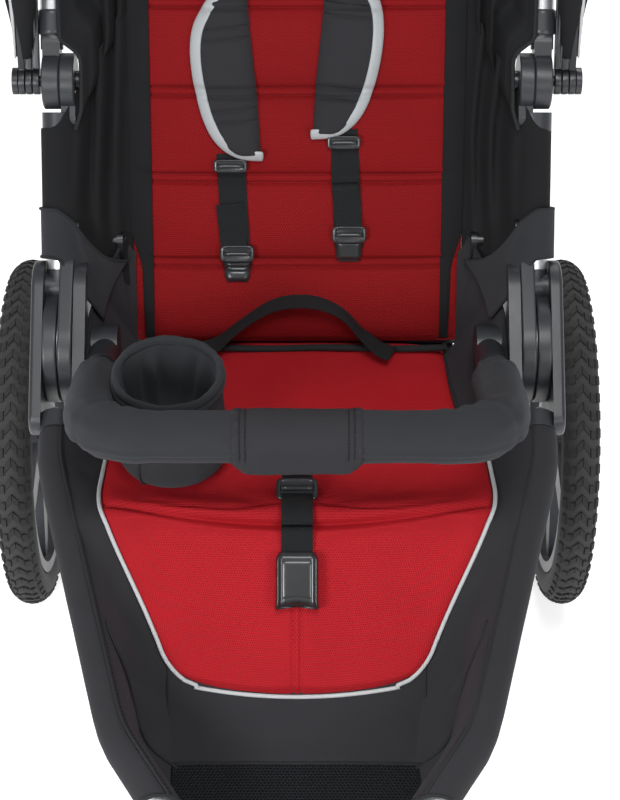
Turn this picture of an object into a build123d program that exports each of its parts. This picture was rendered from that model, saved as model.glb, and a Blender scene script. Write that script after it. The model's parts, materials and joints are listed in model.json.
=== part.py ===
"""Three-wheeled jogging stroller with a folding frame, modelled as separate pieces.

+Z is up, the front wheel points to -Y and +X is the right-hand side of someone looking at the front.
The origin is on the ground, below the middle of the stroller. Every length is in millimetres.

Most places are given from the fold axis, the line along X that the two big side hubs turn about:
"forward" runs towards the front wheel and "rise" runs up. Directions in that side view are degrees
from straight forward, turning up.
"""
from build123d import *
import os
from math import cos, radians, sin, tan

# Fold axis and main frame
HUB_Z = 500.0
UPPER_ANGLE = 128.0
UPPER_LENGTH = 260.0
TUBE_X = 232.0
TUBE_R = 14.0
TUBE_BORE = 12.0
SIDES = (("left", -1), ("right", 1))

# Wheels
REAR_WHEEL_R = 198.0
REAR_TYRE_W = 44.0
REAR_WHEEL_X = 303.0
REAR_AXLE_FORWARD = -165.0
FRONT_WHEEL_R = 152.0
FRONT_TYRE_W = 45.0
FRONT_AXLE_FORWARD = 555.0
STEER_FORWARD = 590.0
TYRE_WALL = 4.5
BEAD_DEPTH = 14.0
RIM_DEPTH = 12.0
AXLE_R = 6.0
RUNNING_GAP = 0.05
TRIM_GAP = 0.02

# Side hubs, layer by layer outwards: inner plate, arm disc, leg disc, outer plate
HUB_INNER = (205.0, 216.7)
HUB_ARM = (217.0, 231.3)
HUB_LEG = (231.9, 246.0)
HUB_OUTER = (246.3, 258.0)
HUB_DISC_R = 44.0
HUB_BOLT_R = 6.0
TUBE_SOCKET_START = 80.0
TUBE_SOCKET_END = 98.0
ARM_END = 78.0
FRONT_TUBE_ANGLE = -12.0
FRONT_TUBE_BEND = 70.0

# Upper hubs and canopy
UPPER_HUB_R = 27.0
UPPER_FIXED = (214.0, 228.0)
UPPER_MOVING = (228.4, 245.0)
PIVOT_R = 5.0
BOW_REACH = 290.0
BOW_LAYERS = (("rear_bow", 120.0, 248.5), ("mid_bow", 114.0, 255.5), ("front_bow", 108.0, 262.5))
BOW_WIDTH = 6.5
BOW_THICK = 8.0
BOW_CORNER = 80.0

# Handle and tray
HANDLE_X = 236.7
HANDLE_R = 11.0
HANDLE_REACH = 425.0
GRIP_HALF = 140.0
GRIP_R = 16.0
TRAY_FORWARD = -364.0
TRAY_DEPTH = 90.0
TRAY_TOP = 985.0
TRAY_HEIGHT = 30.0
CUP_X = 135.0
CUP_BORE_R = 38.0
CUP_WALL = 3.0
CUP_DEPTH = 65.0
POCKET_SIZE = (130.0, 66.0, 26.0)

# Seat
SEAT_HALF = 165.0
PAN_HALF = 186.0
PAN_WIDENS = (70.0, 105.0)
CREASE = (-45.0, -45.0)
PAN_ANGLE = 8.0
PAN_LENGTH = 250.0
BACK_ANGLE = 120.0
BACK_LENGTH = 520.0
CALF_ANGLE = -45.0
CALF_LENGTH = 222.0
CUSHION = 26.0
BOARD = 8.0
RECLINE_PIVOT = (-68.0, -49.0)
RECLINE_R = 4.0

# Bumper bar
BAR_ANGLE = 26.0
BAR_REACH = 240.0
BAR_X = 188.0
BAR_TUBE_R = 10.0
BAR_PAD_R = 22.0
BAR_CORNER = 60.0

# The fold axis stands where the front tyre and the handle grip are equally far from the origin
HANDLE_BACK = -(UPPER_LENGTH + HANDLE_REACH) * cos(radians(UPPER_ANGLE)) + GRIP_R
HUB_Y = 0.5 * (FRONT_AXLE_FORWARD + FRONT_WHEEL_R - HANDLE_BACK)


def spot(x, forward, rise):
    """A point in the model, from the fold axis."""
    return (x, HUB_Y - forward, HUB_Z + rise)


def ray(distance, angle):
    """Forward and rise of a point at a distance from the fold axis."""
    return (distance * cos(radians(angle)), distance * sin(radians(angle)))


def step(start, distance, angle, side=0.0):
    """Forward and rise after a walk from start; side is to the left of the walk, seen with forward right."""
    along = ray(distance, angle)
    across = ray(side, angle + 90)
    return (start[0] + along[0] + across[0], start[1] + along[1] + across[1])


def side_plane(x):
    """Side view plane at x: its X is forward and its Y is rise, from the fold axis."""
    return Plane(origin=spot(x, 0, 0), x_dir=(0, -1, 0), z_dir=(-1, 0, 0))


def hull_slab(x_from, x_to, discs, mode=Mode.ADD):
    """Flat piece between two x, shaped like a belt round discs given as (forward, rise, radius)."""
    with BuildSketch(side_plane(x_from)) as outline:
        for forward, rise, radius in discs:
            with Locations((forward, rise)):
                Circle(radius)
        if len(discs) > 1:
            make_hull()
    extrude(outline.sketch, amount=x_from - x_to, mode=mode)


def side_slab(x_from, x_to, corners, mode=Mode.ADD):
    """Flat piece between two x with a polygon as its side view."""
    with BuildSketch(side_plane(x_from)) as outline:
        with BuildLine():
            Polyline(*corners, close=True)
        make_face()
    extrude(outline.sketch, amount=x_from - x_to, mode=mode)


def rod(start, end, radius, mode=Mode.ADD):
    """Round bar between two points."""
    run = Vector(*end) - Vector(*start)
    with BuildSketch(Plane(origin=start, z_dir=run)) as section:
        Circle(radius)
    extrude(section.sketch, amount=run.length, mode=mode)


def pipe(points, bend, radius, bore=0.0, mode=Mode.ADD):
    """Bent tube along straight runs joined by arcs."""
    with BuildLine() as route:
        if len(points) > 2:
            FilletPolyline(*points, radius=bend)
        else:
            Line(*points)
    first_run = Vector(*points[1]) - Vector(*points[0])
    with BuildSketch(Plane(origin=points[0], z_dir=first_run)) as section:
        Circle(radius)
        if bore:
            Circle(bore, mode=Mode.SUBTRACT)
    sweep(section.sketch, path=route.line, mode=mode)


def strip(x_half, path, thickness, mode=Mode.ADD):
    """Flat webbing across x whose side view is a bent line with a thickness on its left."""
    with BuildSketch(side_plane(x_half)) as outline:
        with BuildLine():
            Polyline(*path)
            offset(amount=thickness, side=Side.LEFT)
        make_face()
    extrude(outline.sketch, amount=2 * x_half, mode=mode)


def save(piece, name):
    """Label a finished piece and write it."""
    piece.label = name
    export_step(piece, f"parts/{name}.step")


def slab_corners(start, angle, near, far, top, bottom):
    """Corners of a long plate laid along a direction: near and far along it, top and bottom across it."""
    return [
        step(start, near, angle, top),
        step(start, far, angle, top),
        step(start, far, angle, bottom),
        step(start, near, angle, bottom),
    ]


os.makedirs("parts", exist_ok=True)

PAN_FRONT = step(CREASE, PAN_LENGTH, PAN_ANGLE)
CALF_END = step(PAN_FRONT, CALF_LENGTH, CALF_ANGLE)
UPPER_HUB = ray(UPPER_LENGTH, UPPER_ANGLE)
REAR_AXLE = (REAR_AXLE_FORWARD, REAR_WHEEL_R - HUB_Z)
FRONT_AXLE = (FRONT_AXLE_FORWARD, FRONT_WHEEL_R - HUB_Z)
TUBE_BENDS = ((TUBE_X, 130.0, -27.6), (160.0, 400.0, -86.0), (40.0, 575.0, -128.0))


# ---------------------------------------------------------------- front frame
def front_route(side):
    """Corner points of the front tube on one side."""
    start = ray(TUBE_SOCKET_END, FRONT_TUBE_ANGLE)
    return [spot(side * TUBE_X, *start)] + [spot(side * x, forward, rise) for x, forward, rise in TUBE_BENDS]


def trim_to_front_tube(side):
    """Cut away what would lie inside the front tube on one side."""
    pipe(front_route(side), FRONT_TUBE_BEND, TUBE_R + TRIM_GAP, mode=Mode.SUBTRACT)


for side_name, side in SIDES:
    with BuildPart() as front_tube:
        pipe(front_route(side), FRONT_TUBE_BEND, TUBE_R, TUBE_BORE)
    save(front_tube.part, f"front_tube_{side_name}")

HEAD_BOTTOM = -162.0
HEAD_TOP = -100.0
HEAD_R = 25.0
STEERER_R = 12.0
KNOB_BOSS_TOP = HEAD_TOP + 12.0
with BuildPart() as front_head:
    rod(spot(0, STEER_FORWARD, HEAD_BOTTOM), spot(0, STEER_FORWARD, HEAD_TOP), HEAD_R)
    fillet(front_head.edges().filter_by(GeomType.CIRCLE), 3)
    for side_name, side in SIDES:
        outer_bend, tube_end = TUBE_BENDS[1], TUBE_BENDS[2]
        stub_start = Vector(*spot(side * tube_end[0], *tube_end[1:]))
        run = stub_start - Vector(*spot(side * outer_bend[0], *outer_bend[1:]))
        rod(tuple(stub_start), tuple(stub_start + run.normalized() * 34), TUBE_R + 2)
    rod(spot(0, STEER_FORWARD, HEAD_TOP - 1), spot(0, STEER_FORWARD, KNOB_BOSS_TOP), 10)
    rod(spot(0, STEER_FORWARD, HEAD_BOTTOM - 1), spot(0, STEER_FORWARD, HEAD_TOP - 6),
        STEERER_R + RUNNING_GAP, Mode.SUBTRACT)
save(front_head.part, "front_head")


def hub_shell(side):
    """Two side plates of a fold hub, joined by the block that holds the front tube."""
    outline = [(0, 0, 46), (*ray(52, 131), 34), (*ray(48, -46), 34), (*ray(81, FRONT_TUBE_ANGLE), 17)]
    with BuildPart() as shell:
        hull_slab(side * HUB_INNER[0], side * HUB_INNER[1], outline)
        hull_slab(side * HUB_OUTER[0], side * HUB_OUTER[1], outline)
        fillet(shell.edges().filter_by(Plane.YZ).group_by(Axis.X)[-1 if side > 0 else 0], 4)
        rod(spot(side * TUBE_X, *ray(TUBE_SOCKET_START, FRONT_TUBE_ANGLE)),
            spot(side * TUBE_X, *ray(TUBE_SOCKET_END, FRONT_TUBE_ANGLE)), 16.5)
        rod(spot(side * (HUB_INNER[0] - 1), 0, 0), spot(side * (HUB_OUTER[1] + 1), 0, 0),
            HUB_BOLT_R + RUNNING_GAP, Mode.SUBTRACT)
    return shell.part


for side_name, side in SIDES:
    save(hub_shell(side), f"hub_shell_{side_name}")

with BuildPart() as hub_bolts:
    for side_name, side in SIDES:
        rod(spot(side * 190, 0, 0), spot(side * 258.2, 0, 0), HUB_BOLT_R)
        rod(spot(side * 258.2, 0, 0), spot(side * 262, 0, 0), 14)
save(hub_bolts.part, "hub_bolts")

CROSS_TUBE_R = 11.0
UNDER_SEAT = CUSHION + BOARD + 0.6 + CROSS_TUBE_R
PLATE_END = (HUB_INNER[0] - 0.2, -58.0)
TUBE_SLOPE = tan(radians(FRONT_TUBE_ANGLE))
with BuildPart() as seat_cross_tubes:
    for along, end_x in ((62.0, PLATE_END[0]), (160.0, TUBE_X - 8), (216.0, TUBE_X - 14)):
        forward, low = step(CREASE, along, PAN_ANGLE, -UNDER_SEAT)
        end_rise = PLATE_END[1] if end_x == PLATE_END[0] else forward * TUBE_SLOPE
        points = [
            spot(-end_x, forward, end_rise),
            spot(-end_x + 42, forward, low),
            spot(end_x - 42, forward, low),
            spot(end_x, forward, end_rise),
        ]
        pipe(points, 24, CROSS_TUBE_R, 9)
    for side_name, side in SIDES:
        trim_to_front_tube(side)
        hull_slab(side * PLATE_END[0], side * HUB_INNER[1], [(20, PLATE_END[1], 24)], Mode.SUBTRACT)
save(seat_cross_tubes.part, "seat_cross_tubes")

with BuildPart() as seat_board:
    side_slab(-SEAT_HALF + 5, SEAT_HALF - 5,
              slab_corners(CREASE, PAN_ANGLE, 4, PAN_LENGTH - 12, -CUSHION - 0.3, -CUSHION - BOARD))
    fillet(seat_board.edges().filter_by(Axis.X), 2)
save(seat_board.part, "seat_board")

with BuildPart() as seat_cushion:
    side_slab(-PAN_HALF, PAN_HALF, slab_corners(CREASE, PAN_ANGLE, 3, PAN_LENGTH - 2, 0, -CUSHION))
    fillet(seat_cushion.edges().filter_by(Axis.X).sort_by(Axis.Y)[:2], 10)
    below_cushion = Plane(origin=spot(0, 0, -UNDER_SEAT - 60), x_dir=(1, 0, 0), z_dir=(0, 0, 1))
    for side_name, side in SIDES:
        with BuildSketch(below_cushion) as side_cut:
            with BuildLine():
                Polyline((side * SEAT_HALF, 80), (side * SEAT_HALF, -PAN_WIDENS[0]),
                         (side * PAN_HALF, -PAN_WIDENS[1]), (side * (PAN_HALF + 5), 80), close=True)
            make_face()
        extrude(side_cut.sketch, amount=150, mode=Mode.SUBTRACT)
save(seat_cushion.part, "seat_cushion")

CALF_THICK = 18.0
CALF_TOP_HALF = 186.0
CALF_END_HALF = 122.0
CALF_START = 22.0
calf_plane = Plane(origin=spot(0, *PAN_FRONT), x_dir=(1, 0, 0),
                   z_dir=(0, -sin(radians(-CALF_ANGLE)), cos(radians(CALF_ANGLE))))
with BuildPart() as calf_panel:
    with BuildSketch(calf_plane):
        with BuildLine():
            Polyline((-CALF_TOP_HALF, -CALF_START), (CALF_TOP_HALF, -CALF_START),
                     (CALF_END_HALF, -CALF_LENGTH), (-CALF_END_HALF, -CALF_LENGTH), close=True)
        make_face()
        fillet(vertices().group_by(Axis.Y)[0], 30)
    extrude(amount=-CALF_THICK)
save(calf_panel.part, "calf_panel")

FOOT_RISE = HUB_Z - 318.0
FOOT_FAR = 478.0
STRUT_TOP = (148.0, 421.0, -94.0)
with BuildPart() as footrest:
    side_slab(-118, 118, [
        (CALF_END[0] + 3, -FOOT_RISE + 7),
        (FOOT_FAR, -FOOT_RISE + 7),
        (FOOT_FAR + 14, -FOOT_RISE + 25),
        (FOOT_FAR + 20, -FOOT_RISE + 25),
        (FOOT_FAR + 6, -FOOT_RISE),
        (CALF_END[0] + 3, -FOOT_RISE),
    ])
    with Locations(Plane(origin=spot(0, 0.5 * (CALF_END[0] + FOOT_FAR), -FOOT_RISE))):
        with GridLocations(44, 30, 5, 3):
            Cylinder(9, 40, mode=Mode.SUBTRACT)
    for side_name, side in SIDES:
        rod(spot(side * 106, 440, -FOOT_RISE + 5), spot(side * STRUT_TOP[0], *STRUT_TOP[1:]), 7)
        trim_to_front_tube(side)
save(footrest.part, "footrest")

# ---------------------------------------------------------------- harness on the seat
WEB = 2.5
STRAP_LIFT = 1.0
BUCKLE_NEAR = 45.0
BUCKLE_FAR = 98.0
BUCKLE_THICK = 13.0
strap_top = [
    step(CREASE, 190, PAN_ANGLE, STRAP_LIFT),
    step(CREASE, PAN_LENGTH + 2, PAN_ANGLE, STRAP_LIFT + 1),
    step(PAN_FRONT, 14, CALF_ANGLE, STRAP_LIFT + 1),
    step(PAN_FRONT, BUCKLE_NEAR - 0.5, CALF_ANGLE, STRAP_LIFT + 1),
]
with BuildPart() as crotch_strap:
    strip(15, strap_top, WEB)
save(crotch_strap.part, "crotch_strap")

with BuildPart() as strap_adjuster:
    side_slab(-21, 21, slab_corners(CREASE, PAN_ANGLE, 214, 238, 4.8, 8.4))
    side_slab(-15.5, 15.5, slab_corners(CREASE, PAN_ANGLE, 218, 224, 4, 9), Mode.SUBTRACT)
    side_slab(-15.5, 15.5, slab_corners(CREASE, PAN_ANGLE, 228, 234, 4, 9), Mode.SUBTRACT)
save(strap_adjuster.part, "strap_adjuster")

BUTTON_R = 9.0
button_spot = step(PAN_FRONT, 0.5 * (BUCKLE_NEAR + BUCKLE_FAR), CALF_ANGLE, 1 + BUCKLE_THICK)
button_plane = Plane(origin=spot(0, *button_spot), z_dir=calf_plane.z_dir)
with BuildPart() as harness_buckle:
    side_slab(-20, 20,
              slab_corners(PAN_FRONT, CALF_ANGLE, BUCKLE_NEAR, BUCKLE_FAR, 1 + BUCKLE_THICK, 1))
    fillet(harness_buckle.edges().filter_by(Axis(calf_plane.origin, calf_plane.z_dir)), 6)
    with BuildSketch(button_plane):
        Circle(BUTTON_R + 0.3)
    extrude(amount=-8, mode=Mode.SUBTRACT)
save(harness_buckle.part, "harness_buckle")

with BuildPart() as buckle_button:
    with BuildSketch(button_plane.offset(-5)):
        Circle(BUTTON_R)
    extrude(amount=6)
    fillet(buckle_button.edges().filter_by(GeomType.CIRCLE), 0.8)
save(buckle_button.part, "buckle_button")

FOLD_STRAP_HALF = 70.0
FOLD_STRAP_RISE = 38.0
with BuildPart() as fold_strap:
    foot = step(CREASE, 8, PAN_ANGLE, 4.2)
    with BuildSketch(Plane(origin=spot(0, *foot), x_dir=(1, 0, 0), z_dir=(0, -1, 0))):
        with BuildLine() as arch:
            ThreePointArc((-FOLD_STRAP_HALF, 0), (0, FOLD_STRAP_RISE), (FOLD_STRAP_HALF, 0))
            ThreePointArc((-FOLD_STRAP_HALF + WEB, 0), (0, FOLD_STRAP_RISE - WEB),
                          (FOLD_STRAP_HALF - WEB, 0))
            Line((-FOLD_STRAP_HALF, 0), (-FOLD_STRAP_HALF + WEB, 0))
            Line((FOLD_STRAP_HALF, 0), (FOLD_STRAP_HALF - WEB, 0))
        make_face()
    extrude(amount=24)
save(fold_strap.part, "fold_strap")

BASKET_HALF = 188.0
BASKET_FORWARD = (-128.0, 190.0)
BASKET_Z = (-290.0, -170.0)
BASKET_WALL = 3.0
with BuildPart() as storage_basket:
    side_slab(-BASKET_HALF, BASKET_HALF, [
        (BASKET_FORWARD[0], BASKET_Z[1]),
        (BASKET_FORWARD[0] + 20, BASKET_Z[0]),
        (BASKET_FORWARD[1] - 20, BASKET_Z[0]),
        (BASKET_FORWARD[1], BASKET_Z[1]),
    ])
    fillet(storage_basket.edges().filter_by(Axis.X).group_by(Axis.Z)[0], 18)
    offset(amount=-BASKET_WALL, openings=storage_basket.faces().sort_by(Axis.Z)[-1])
save(storage_basket.part, "storage_basket")


# ---------------------------------------------------------------- wheels
def wheel_plane(centre):
    """Cross-section plane of a wheel: its X is along the axle and its Y is outwards."""
    return Plane(origin=centre, x_dir=(1, 0, 0), z_dir=(0, -1, 0))


def tyre(centre, radius, width):
    """Hollow tyre, open towards the rim between its two beads."""
    middle = radius - 0.5 * width
    with BuildPart() as casing:
        with BuildSketch(wheel_plane(centre)):
            with Locations((0, middle)):
                Circle(0.5 * width)
                Circle(0.5 * width - TYRE_WALL, mode=Mode.SUBTRACT)
            with Locations((0, middle - BEAD_DEPTH - 0.5 * width)):
                Rectangle(width + 2, width, mode=Mode.SUBTRACT)
        revolve(axis=Axis(centre, (1, 0, 0)))
    return casing.part


def rim(centre, radius, width, spokes, hub_r):
    """Moulded wheel: outer channel, broad spokes and an inner ring round the hub barrel."""
    outer = radius - 0.5 * width - BEAD_DEPTH - 0.1
    half = 0.5 * width - 5.5
    with BuildPart() as moulding:
        with BuildSketch(wheel_plane(centre)):
            with Locations((0, outer - 0.5 * RIM_DEPTH)):
                Rectangle(2 * half, RIM_DEPTH)
            with Locations((0, outer)):
                Rectangle(1.2 * half, 12, mode=Mode.SUBTRACT)
            with Locations((0, hub_r + 5)):
                Rectangle(2 * half + 8, 10)
        revolve(axis=Axis(centre, (1, 0, 0)))
        face = Plane(origin=centre, x_dir=(0, -1, 0), z_dir=(-1, 0, 0))
        with BuildSketch(face):
            with PolarLocations(0, spokes):
                Polygon((hub_r + 6, -17), (outer - RIM_DEPTH + 2, -11), (outer - RIM_DEPTH + 2, 11),
                        (hub_r + 6, 17), align=None)
        extrude(amount=9, both=True)
    return moulding.part


def barrel(centre, radius, x_from, x_to):
    """Hub barrel that turns on the axle."""
    start = (x_from, centre[1], centre[2])
    end = (x_to, centre[1], centre[2])
    with BuildPart() as hub:
        rod(start, end, radius)
        chamfer(hub.edges().filter_by(GeomType.CIRCLE), 1.5)
        rod(start, end, AXLE_R + RUNNING_GAP, Mode.SUBTRACT)
    return hub.part


REAR_HUB_R = 28.0
FRONT_HUB_R = 20.0
for side_name, side in SIDES:
    centre = spot(side * REAR_WHEEL_X, *REAR_AXLE)
    save(tyre(centre, REAR_WHEEL_R, REAR_TYRE_W), f"rear_tyre_{side_name}")
    save(rim(centre, REAR_WHEEL_R, REAR_TYRE_W, 6, REAR_HUB_R), f"rear_rim_{side_name}")
    save(barrel(centre, REAR_HUB_R - 0.1, side * 276, side * 320), f"rear_hub_{side_name}")

front_centre = spot(0, *FRONT_AXLE)
save(tyre(front_centre, FRONT_WHEEL_R, FRONT_TYRE_W), "front_tyre")
save(rim(front_centre, FRONT_WHEEL_R, FRONT_TYRE_W, 5, FRONT_HUB_R), "front_rim")
save(barrel(front_centre, FRONT_HUB_R - 0.1, -28, 28), "front_hub")

# ---------------------------------------------------------------- fork
FORK_LEG = (32.0, 46.0)
CROWN = (-189.0, -165.0)
with BuildPart() as fork:
    for side_name, side in SIDES:
        hull_slab(side * FORK_LEG[0], side * FORK_LEG[1],
                  [(STEER_FORWARD, CROWN[1] - 14, 14), (*FRONT_AXLE, 15)])
    side_slab(-FORK_LEG[1], FORK_LEG[1], [
        (STEER_FORWARD - 14, CROWN[0]),
        (STEER_FORWARD + 14, CROWN[0]),
        (STEER_FORWARD + 14, CROWN[1]),
        (STEER_FORWARD - 14, CROWN[1]),
    ])
    rod(spot(0, STEER_FORWARD, CROWN[1] - 1), spot(0, STEER_FORWARD, HEAD_TOP - 8), STEERER_R)
    rod(spot(-FORK_LEG[1] - 1, *FRONT_AXLE), spot(FORK_LEG[1] + 1, *FRONT_AXLE),
        AXLE_R + RUNNING_GAP, Mode.SUBTRACT)
save(fork.part, "fork")

with BuildPart() as front_axle:
    rod(spot(-52, *FRONT_AXLE), spot(52, *FRONT_AXLE), AXLE_R)
    rod(spot(-52, *FRONT_AXLE), spot(-46.4, *FRONT_AXLE), 11)
save(front_axle.part, "front_axle")

LEVER_PIVOT_X = 60.0
with BuildPart() as quick_release:
    lever_start = spot(LEVER_PIVOT_X, FRONT_AXLE_FORWARD + 7, FRONT_AXLE[1])
    with BuildSketch(Plane(origin=lever_start, x_dir=(1, 0, 0), z_dir=(0, 1, 0))):
        Circle(7)
        with Locations((2, 32)):
            Rectangle(7, 64)
        with Locations((3, 64)):
            Circle(4.5)
        make_hull()
    extrude(amount=14)
save(quick_release.part, "quick_release")

with BuildPart() as swivel_lock:
    rod(spot(0, STEER_FORWARD, HEAD_TOP + 0.4), spot(0, STEER_FORWARD, KNOB_BOSS_TOP + 6), 18)
    fillet(swivel_lock.edges().group_by(Axis.Z)[-1], 3)
    with Locations(Location(spot(0, STEER_FORWARD + 20, HEAD_TOP + 9))):
        Box(12, 22, 10)
    rod(spot(0, STEER_FORWARD, HEAD_TOP), spot(0, STEER_FORWARD, KNOB_BOSS_TOP + 0.4),
        10 + RUNNING_GAP, Mode.SUBTRACT)
save(swivel_lock.part, "swivel_lock")


# ---------------------------------------------------------------- upper frame
def arm_disc(side, angle, layer, tube_r, end):
    """Disc in a fold hub with a lobe that widens into the foot of a tube."""
    full = (HUB_ARM[0], HUB_LEG[1])
    with BuildPart() as arm:
        hull_slab(side * layer[0], side * layer[1], [(0, 0, HUB_DISC_R), (*ray(end - 18, angle), 17)])
        hull_slab(side * full[0], side * full[1], [(*ray(HUB_DISC_R + 16.5, angle), 15)])
        rod(spot(side * TUBE_X, *ray(end - 20, angle)), spot(side * TUBE_X, *ray(end, angle)), tube_r)
        rod(spot(side * (HUB_ARM[0] - 1), 0, 0), spot(side * (HUB_LEG[1] + 1), 0, 0),
            HUB_BOLT_R + RUNNING_GAP, Mode.SUBTRACT)
    return arm.part


for side_name, side in SIDES:
    save(arm_disc(side, UPPER_ANGLE, HUB_ARM, TUBE_R, ARM_END), f"hub_arm_{side_name}")

UPPER_TUBE_END = UPPER_LENGTH - 48.0
with BuildPart() as upper_tubes:
    for side_name, side in SIDES:
        pipe([
            spot(side * TUBE_X, *ray(ARM_END, UPPER_ANGLE)),
            spot(side * TUBE_X, *ray(UPPER_TUBE_END, UPPER_ANGLE)),
        ], 0, TUBE_R, TUBE_BORE)
save(upper_tubes.part, "upper_tubes")


def pivot_half(side, layer, collar_x, collar_r, away, reach):
    """Half of an upper hub: a disc on the handle pivot with a collar for a tube, which lies at an angle."""
    with BuildPart() as half:
        hull_slab(side * layer[0], side * layer[1], [(*UPPER_HUB, UPPER_HUB_R)])
        chamfer(half.edges().filter_by(GeomType.CIRCLE), 1.2)
        hull_slab(side * layer[0], side * layer[1],
                  [(*UPPER_HUB, 12), (*step(UPPER_HUB, reach - 14, away), 12)])
        rod(spot(side * collar_x, *step(UPPER_HUB, UPPER_HUB_R + 3, away)),
            spot(side * collar_x, *step(UPPER_HUB, reach, away)), collar_r)
        rod(spot(side * (layer[0] - 1), *UPPER_HUB), spot(side * (layer[1] + 1), *UPPER_HUB),
            PIVOT_R + RUNNING_GAP, Mode.SUBTRACT)
    return half.part


with BuildPart() as upper_hubs:
    for side_name, side in SIDES:
        add(pivot_half(side, UPPER_FIXED, TUBE_X, TUBE_R + 1.5, UPPER_ANGLE + 180, 48))
save(upper_hubs.part, "upper_hubs")

with BuildPart() as handle_hubs:
    for side_name, side in SIDES:
        add(pivot_half(side, UPPER_MOVING, HANDLE_X, HANDLE_R, UPPER_ANGLE, 50))
save(handle_hubs.part, "handle_hubs")

with BuildPart() as pivot_screws:
    for side_name, side in SIDES:
        rod(spot(side * 213.6, *UPPER_HUB), spot(side * 269.6, *UPPER_HUB), PIVOT_R)
        rod(spot(side * 209.5, *UPPER_HUB), spot(side * 213.6, *UPPER_HUB), 10)
        rod(spot(side * 269.4, *UPPER_HUB), spot(side * 275, *UPPER_HUB), 13)
save(pivot_screws.part, "pivot_screws")

BRACKET_X = (174.0, 180.0)
BRACKET_BACK = ray(112, 151)
with BuildPart() as recline_brackets:
    for side_name, side in SIDES:
        hull_slab(side * BRACKET_X[0], side * BRACKET_X[1], [(*RECLINE_PIVOT, 10), (*BRACKET_BACK, 9)])
        hull_slab(side * BRACKET_X[0], side * 217.6, [(*BRACKET_BACK, 7)])
        hull_slab(side * 212.8, side * 217.6, [(*BRACKET_BACK, 7), (*ray(118, 127), 9)])
        rod(spot(side * 150, *RECLINE_PIVOT), spot(side * BRACKET_X[0], *RECLINE_PIVOT), RECLINE_R)
save(recline_brackets.part, "recline_brackets")

WING_NEAR = 140.0
WING_FAR = 420.0
WING_X = (176.0, 213.0)
with BuildPart() as side_wings:
    for side_name, side in SIDES:
        side_slab(side * WING_X[0], side * WING_X[1],
                  slab_corners(CREASE, BACK_ANGLE, WING_NEAR, WING_FAR, 14, 6))
save(side_wings.part, "side_wings")


def canopy_bow(angle, inner_x):
    """Flat hoop from side to side, with an eye on each canopy pivot."""
    across = radians(angle)
    plane = Plane(origin=spot(0, *UPPER_HUB), x_dir=(1, 0, 0), z_dir=(0, -sin(across), -cos(across)))
    outer_x = inner_x + BOW_WIDTH
    with BuildPart() as bow:
        with BuildSketch(plane):
            with Locations((0, 0.5 * BOW_REACH)):
                Rectangle(2 * outer_x, BOW_REACH)
            fillet(vertices().group_by(Axis.Y)[-1], BOW_CORNER)
            with BuildSketch(mode=Mode.PRIVATE) as inside:
                with Locations((0, 0.5 * (BOW_REACH - BOW_WIDTH))):
                    Rectangle(2 * inner_x, BOW_REACH - BOW_WIDTH)
                fillet(inside.vertices().group_by(Axis.Y)[-1], BOW_CORNER - BOW_WIDTH)
            add(inside.sketch, mode=Mode.SUBTRACT)
        extrude(amount=0.5 * BOW_THICK, both=True)
        for side_name, side in SIDES:
            hull_slab(side * inner_x, side * outer_x, [(*UPPER_HUB, 13)])
            rod(spot(side * (inner_x - 1), *UPPER_HUB), spot(side * (outer_x + 1), *UPPER_HUB),
                PIVOT_R + RUNNING_GAP, Mode.SUBTRACT)
    return bow.part


for bow_name, bow_angle, bow_x in BOW_LAYERS:
    save(canopy_bow(bow_angle, bow_x), bow_name)

FABRIC_NEAR = 150.0
FABRIC_HALF = 258.0
with BuildPart() as canopy_fabric:
    for angle in (117.0, 111.0):
        slope = radians(angle)
        layer_plane = Plane(origin=spot(0, *UPPER_HUB), x_dir=(1, 0, 0), z_dir=(0, -sin(slope), -cos(slope)))
        with BuildSketch(layer_plane):
            with Locations((0, 0.5 * (BOW_REACH + FABRIC_NEAR))):
                Rectangle(2 * FABRIC_HALF, BOW_REACH - FABRIC_NEAR)
            fillet(vertices().group_by(Axis.Y)[-1], BOW_CORNER)
            with Locations((0, 0.5 * (BOW_REACH + FABRIC_NEAR) - 8)):
                Rectangle(2 * FABRIC_HALF - 16, BOW_REACH - FABRIC_NEAR)
        extrude(amount=2.5, both=True)
save(canopy_fabric.part, "canopy_fabric")

# ---------------------------------------------------------------- handle and tray
HANDLE_START = 50.0
HANDLE_END = step(UPPER_HUB, HANDLE_REACH, UPPER_ANGLE)
with BuildPart() as handle_tube:
    foot = step(UPPER_HUB, HANDLE_START, UPPER_ANGLE)
    pipe([
        spot(-HANDLE_X, *foot),
        spot(-HANDLE_X, *HANDLE_END),
        spot(HANDLE_X, *HANDLE_END),
        spot(HANDLE_X, *foot),
    ], 80, HANDLE_R, 9)
save(handle_tube.part, "handle_tube")

with BuildPart() as handle_grip:
    rod(spot(-GRIP_HALF, *HANDLE_END), spot(GRIP_HALF, *HANDLE_END), GRIP_R)
    fillet(handle_grip.edges().filter_by(GeomType.CIRCLE), 4)
    rod(spot(-GRIP_HALF - 1, *HANDLE_END), spot(GRIP_HALF + 1, *HANDLE_END),
        HANDLE_R + RUNNING_GAP, Mode.SUBTRACT)
save(handle_grip.part, "handle_grip")

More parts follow.
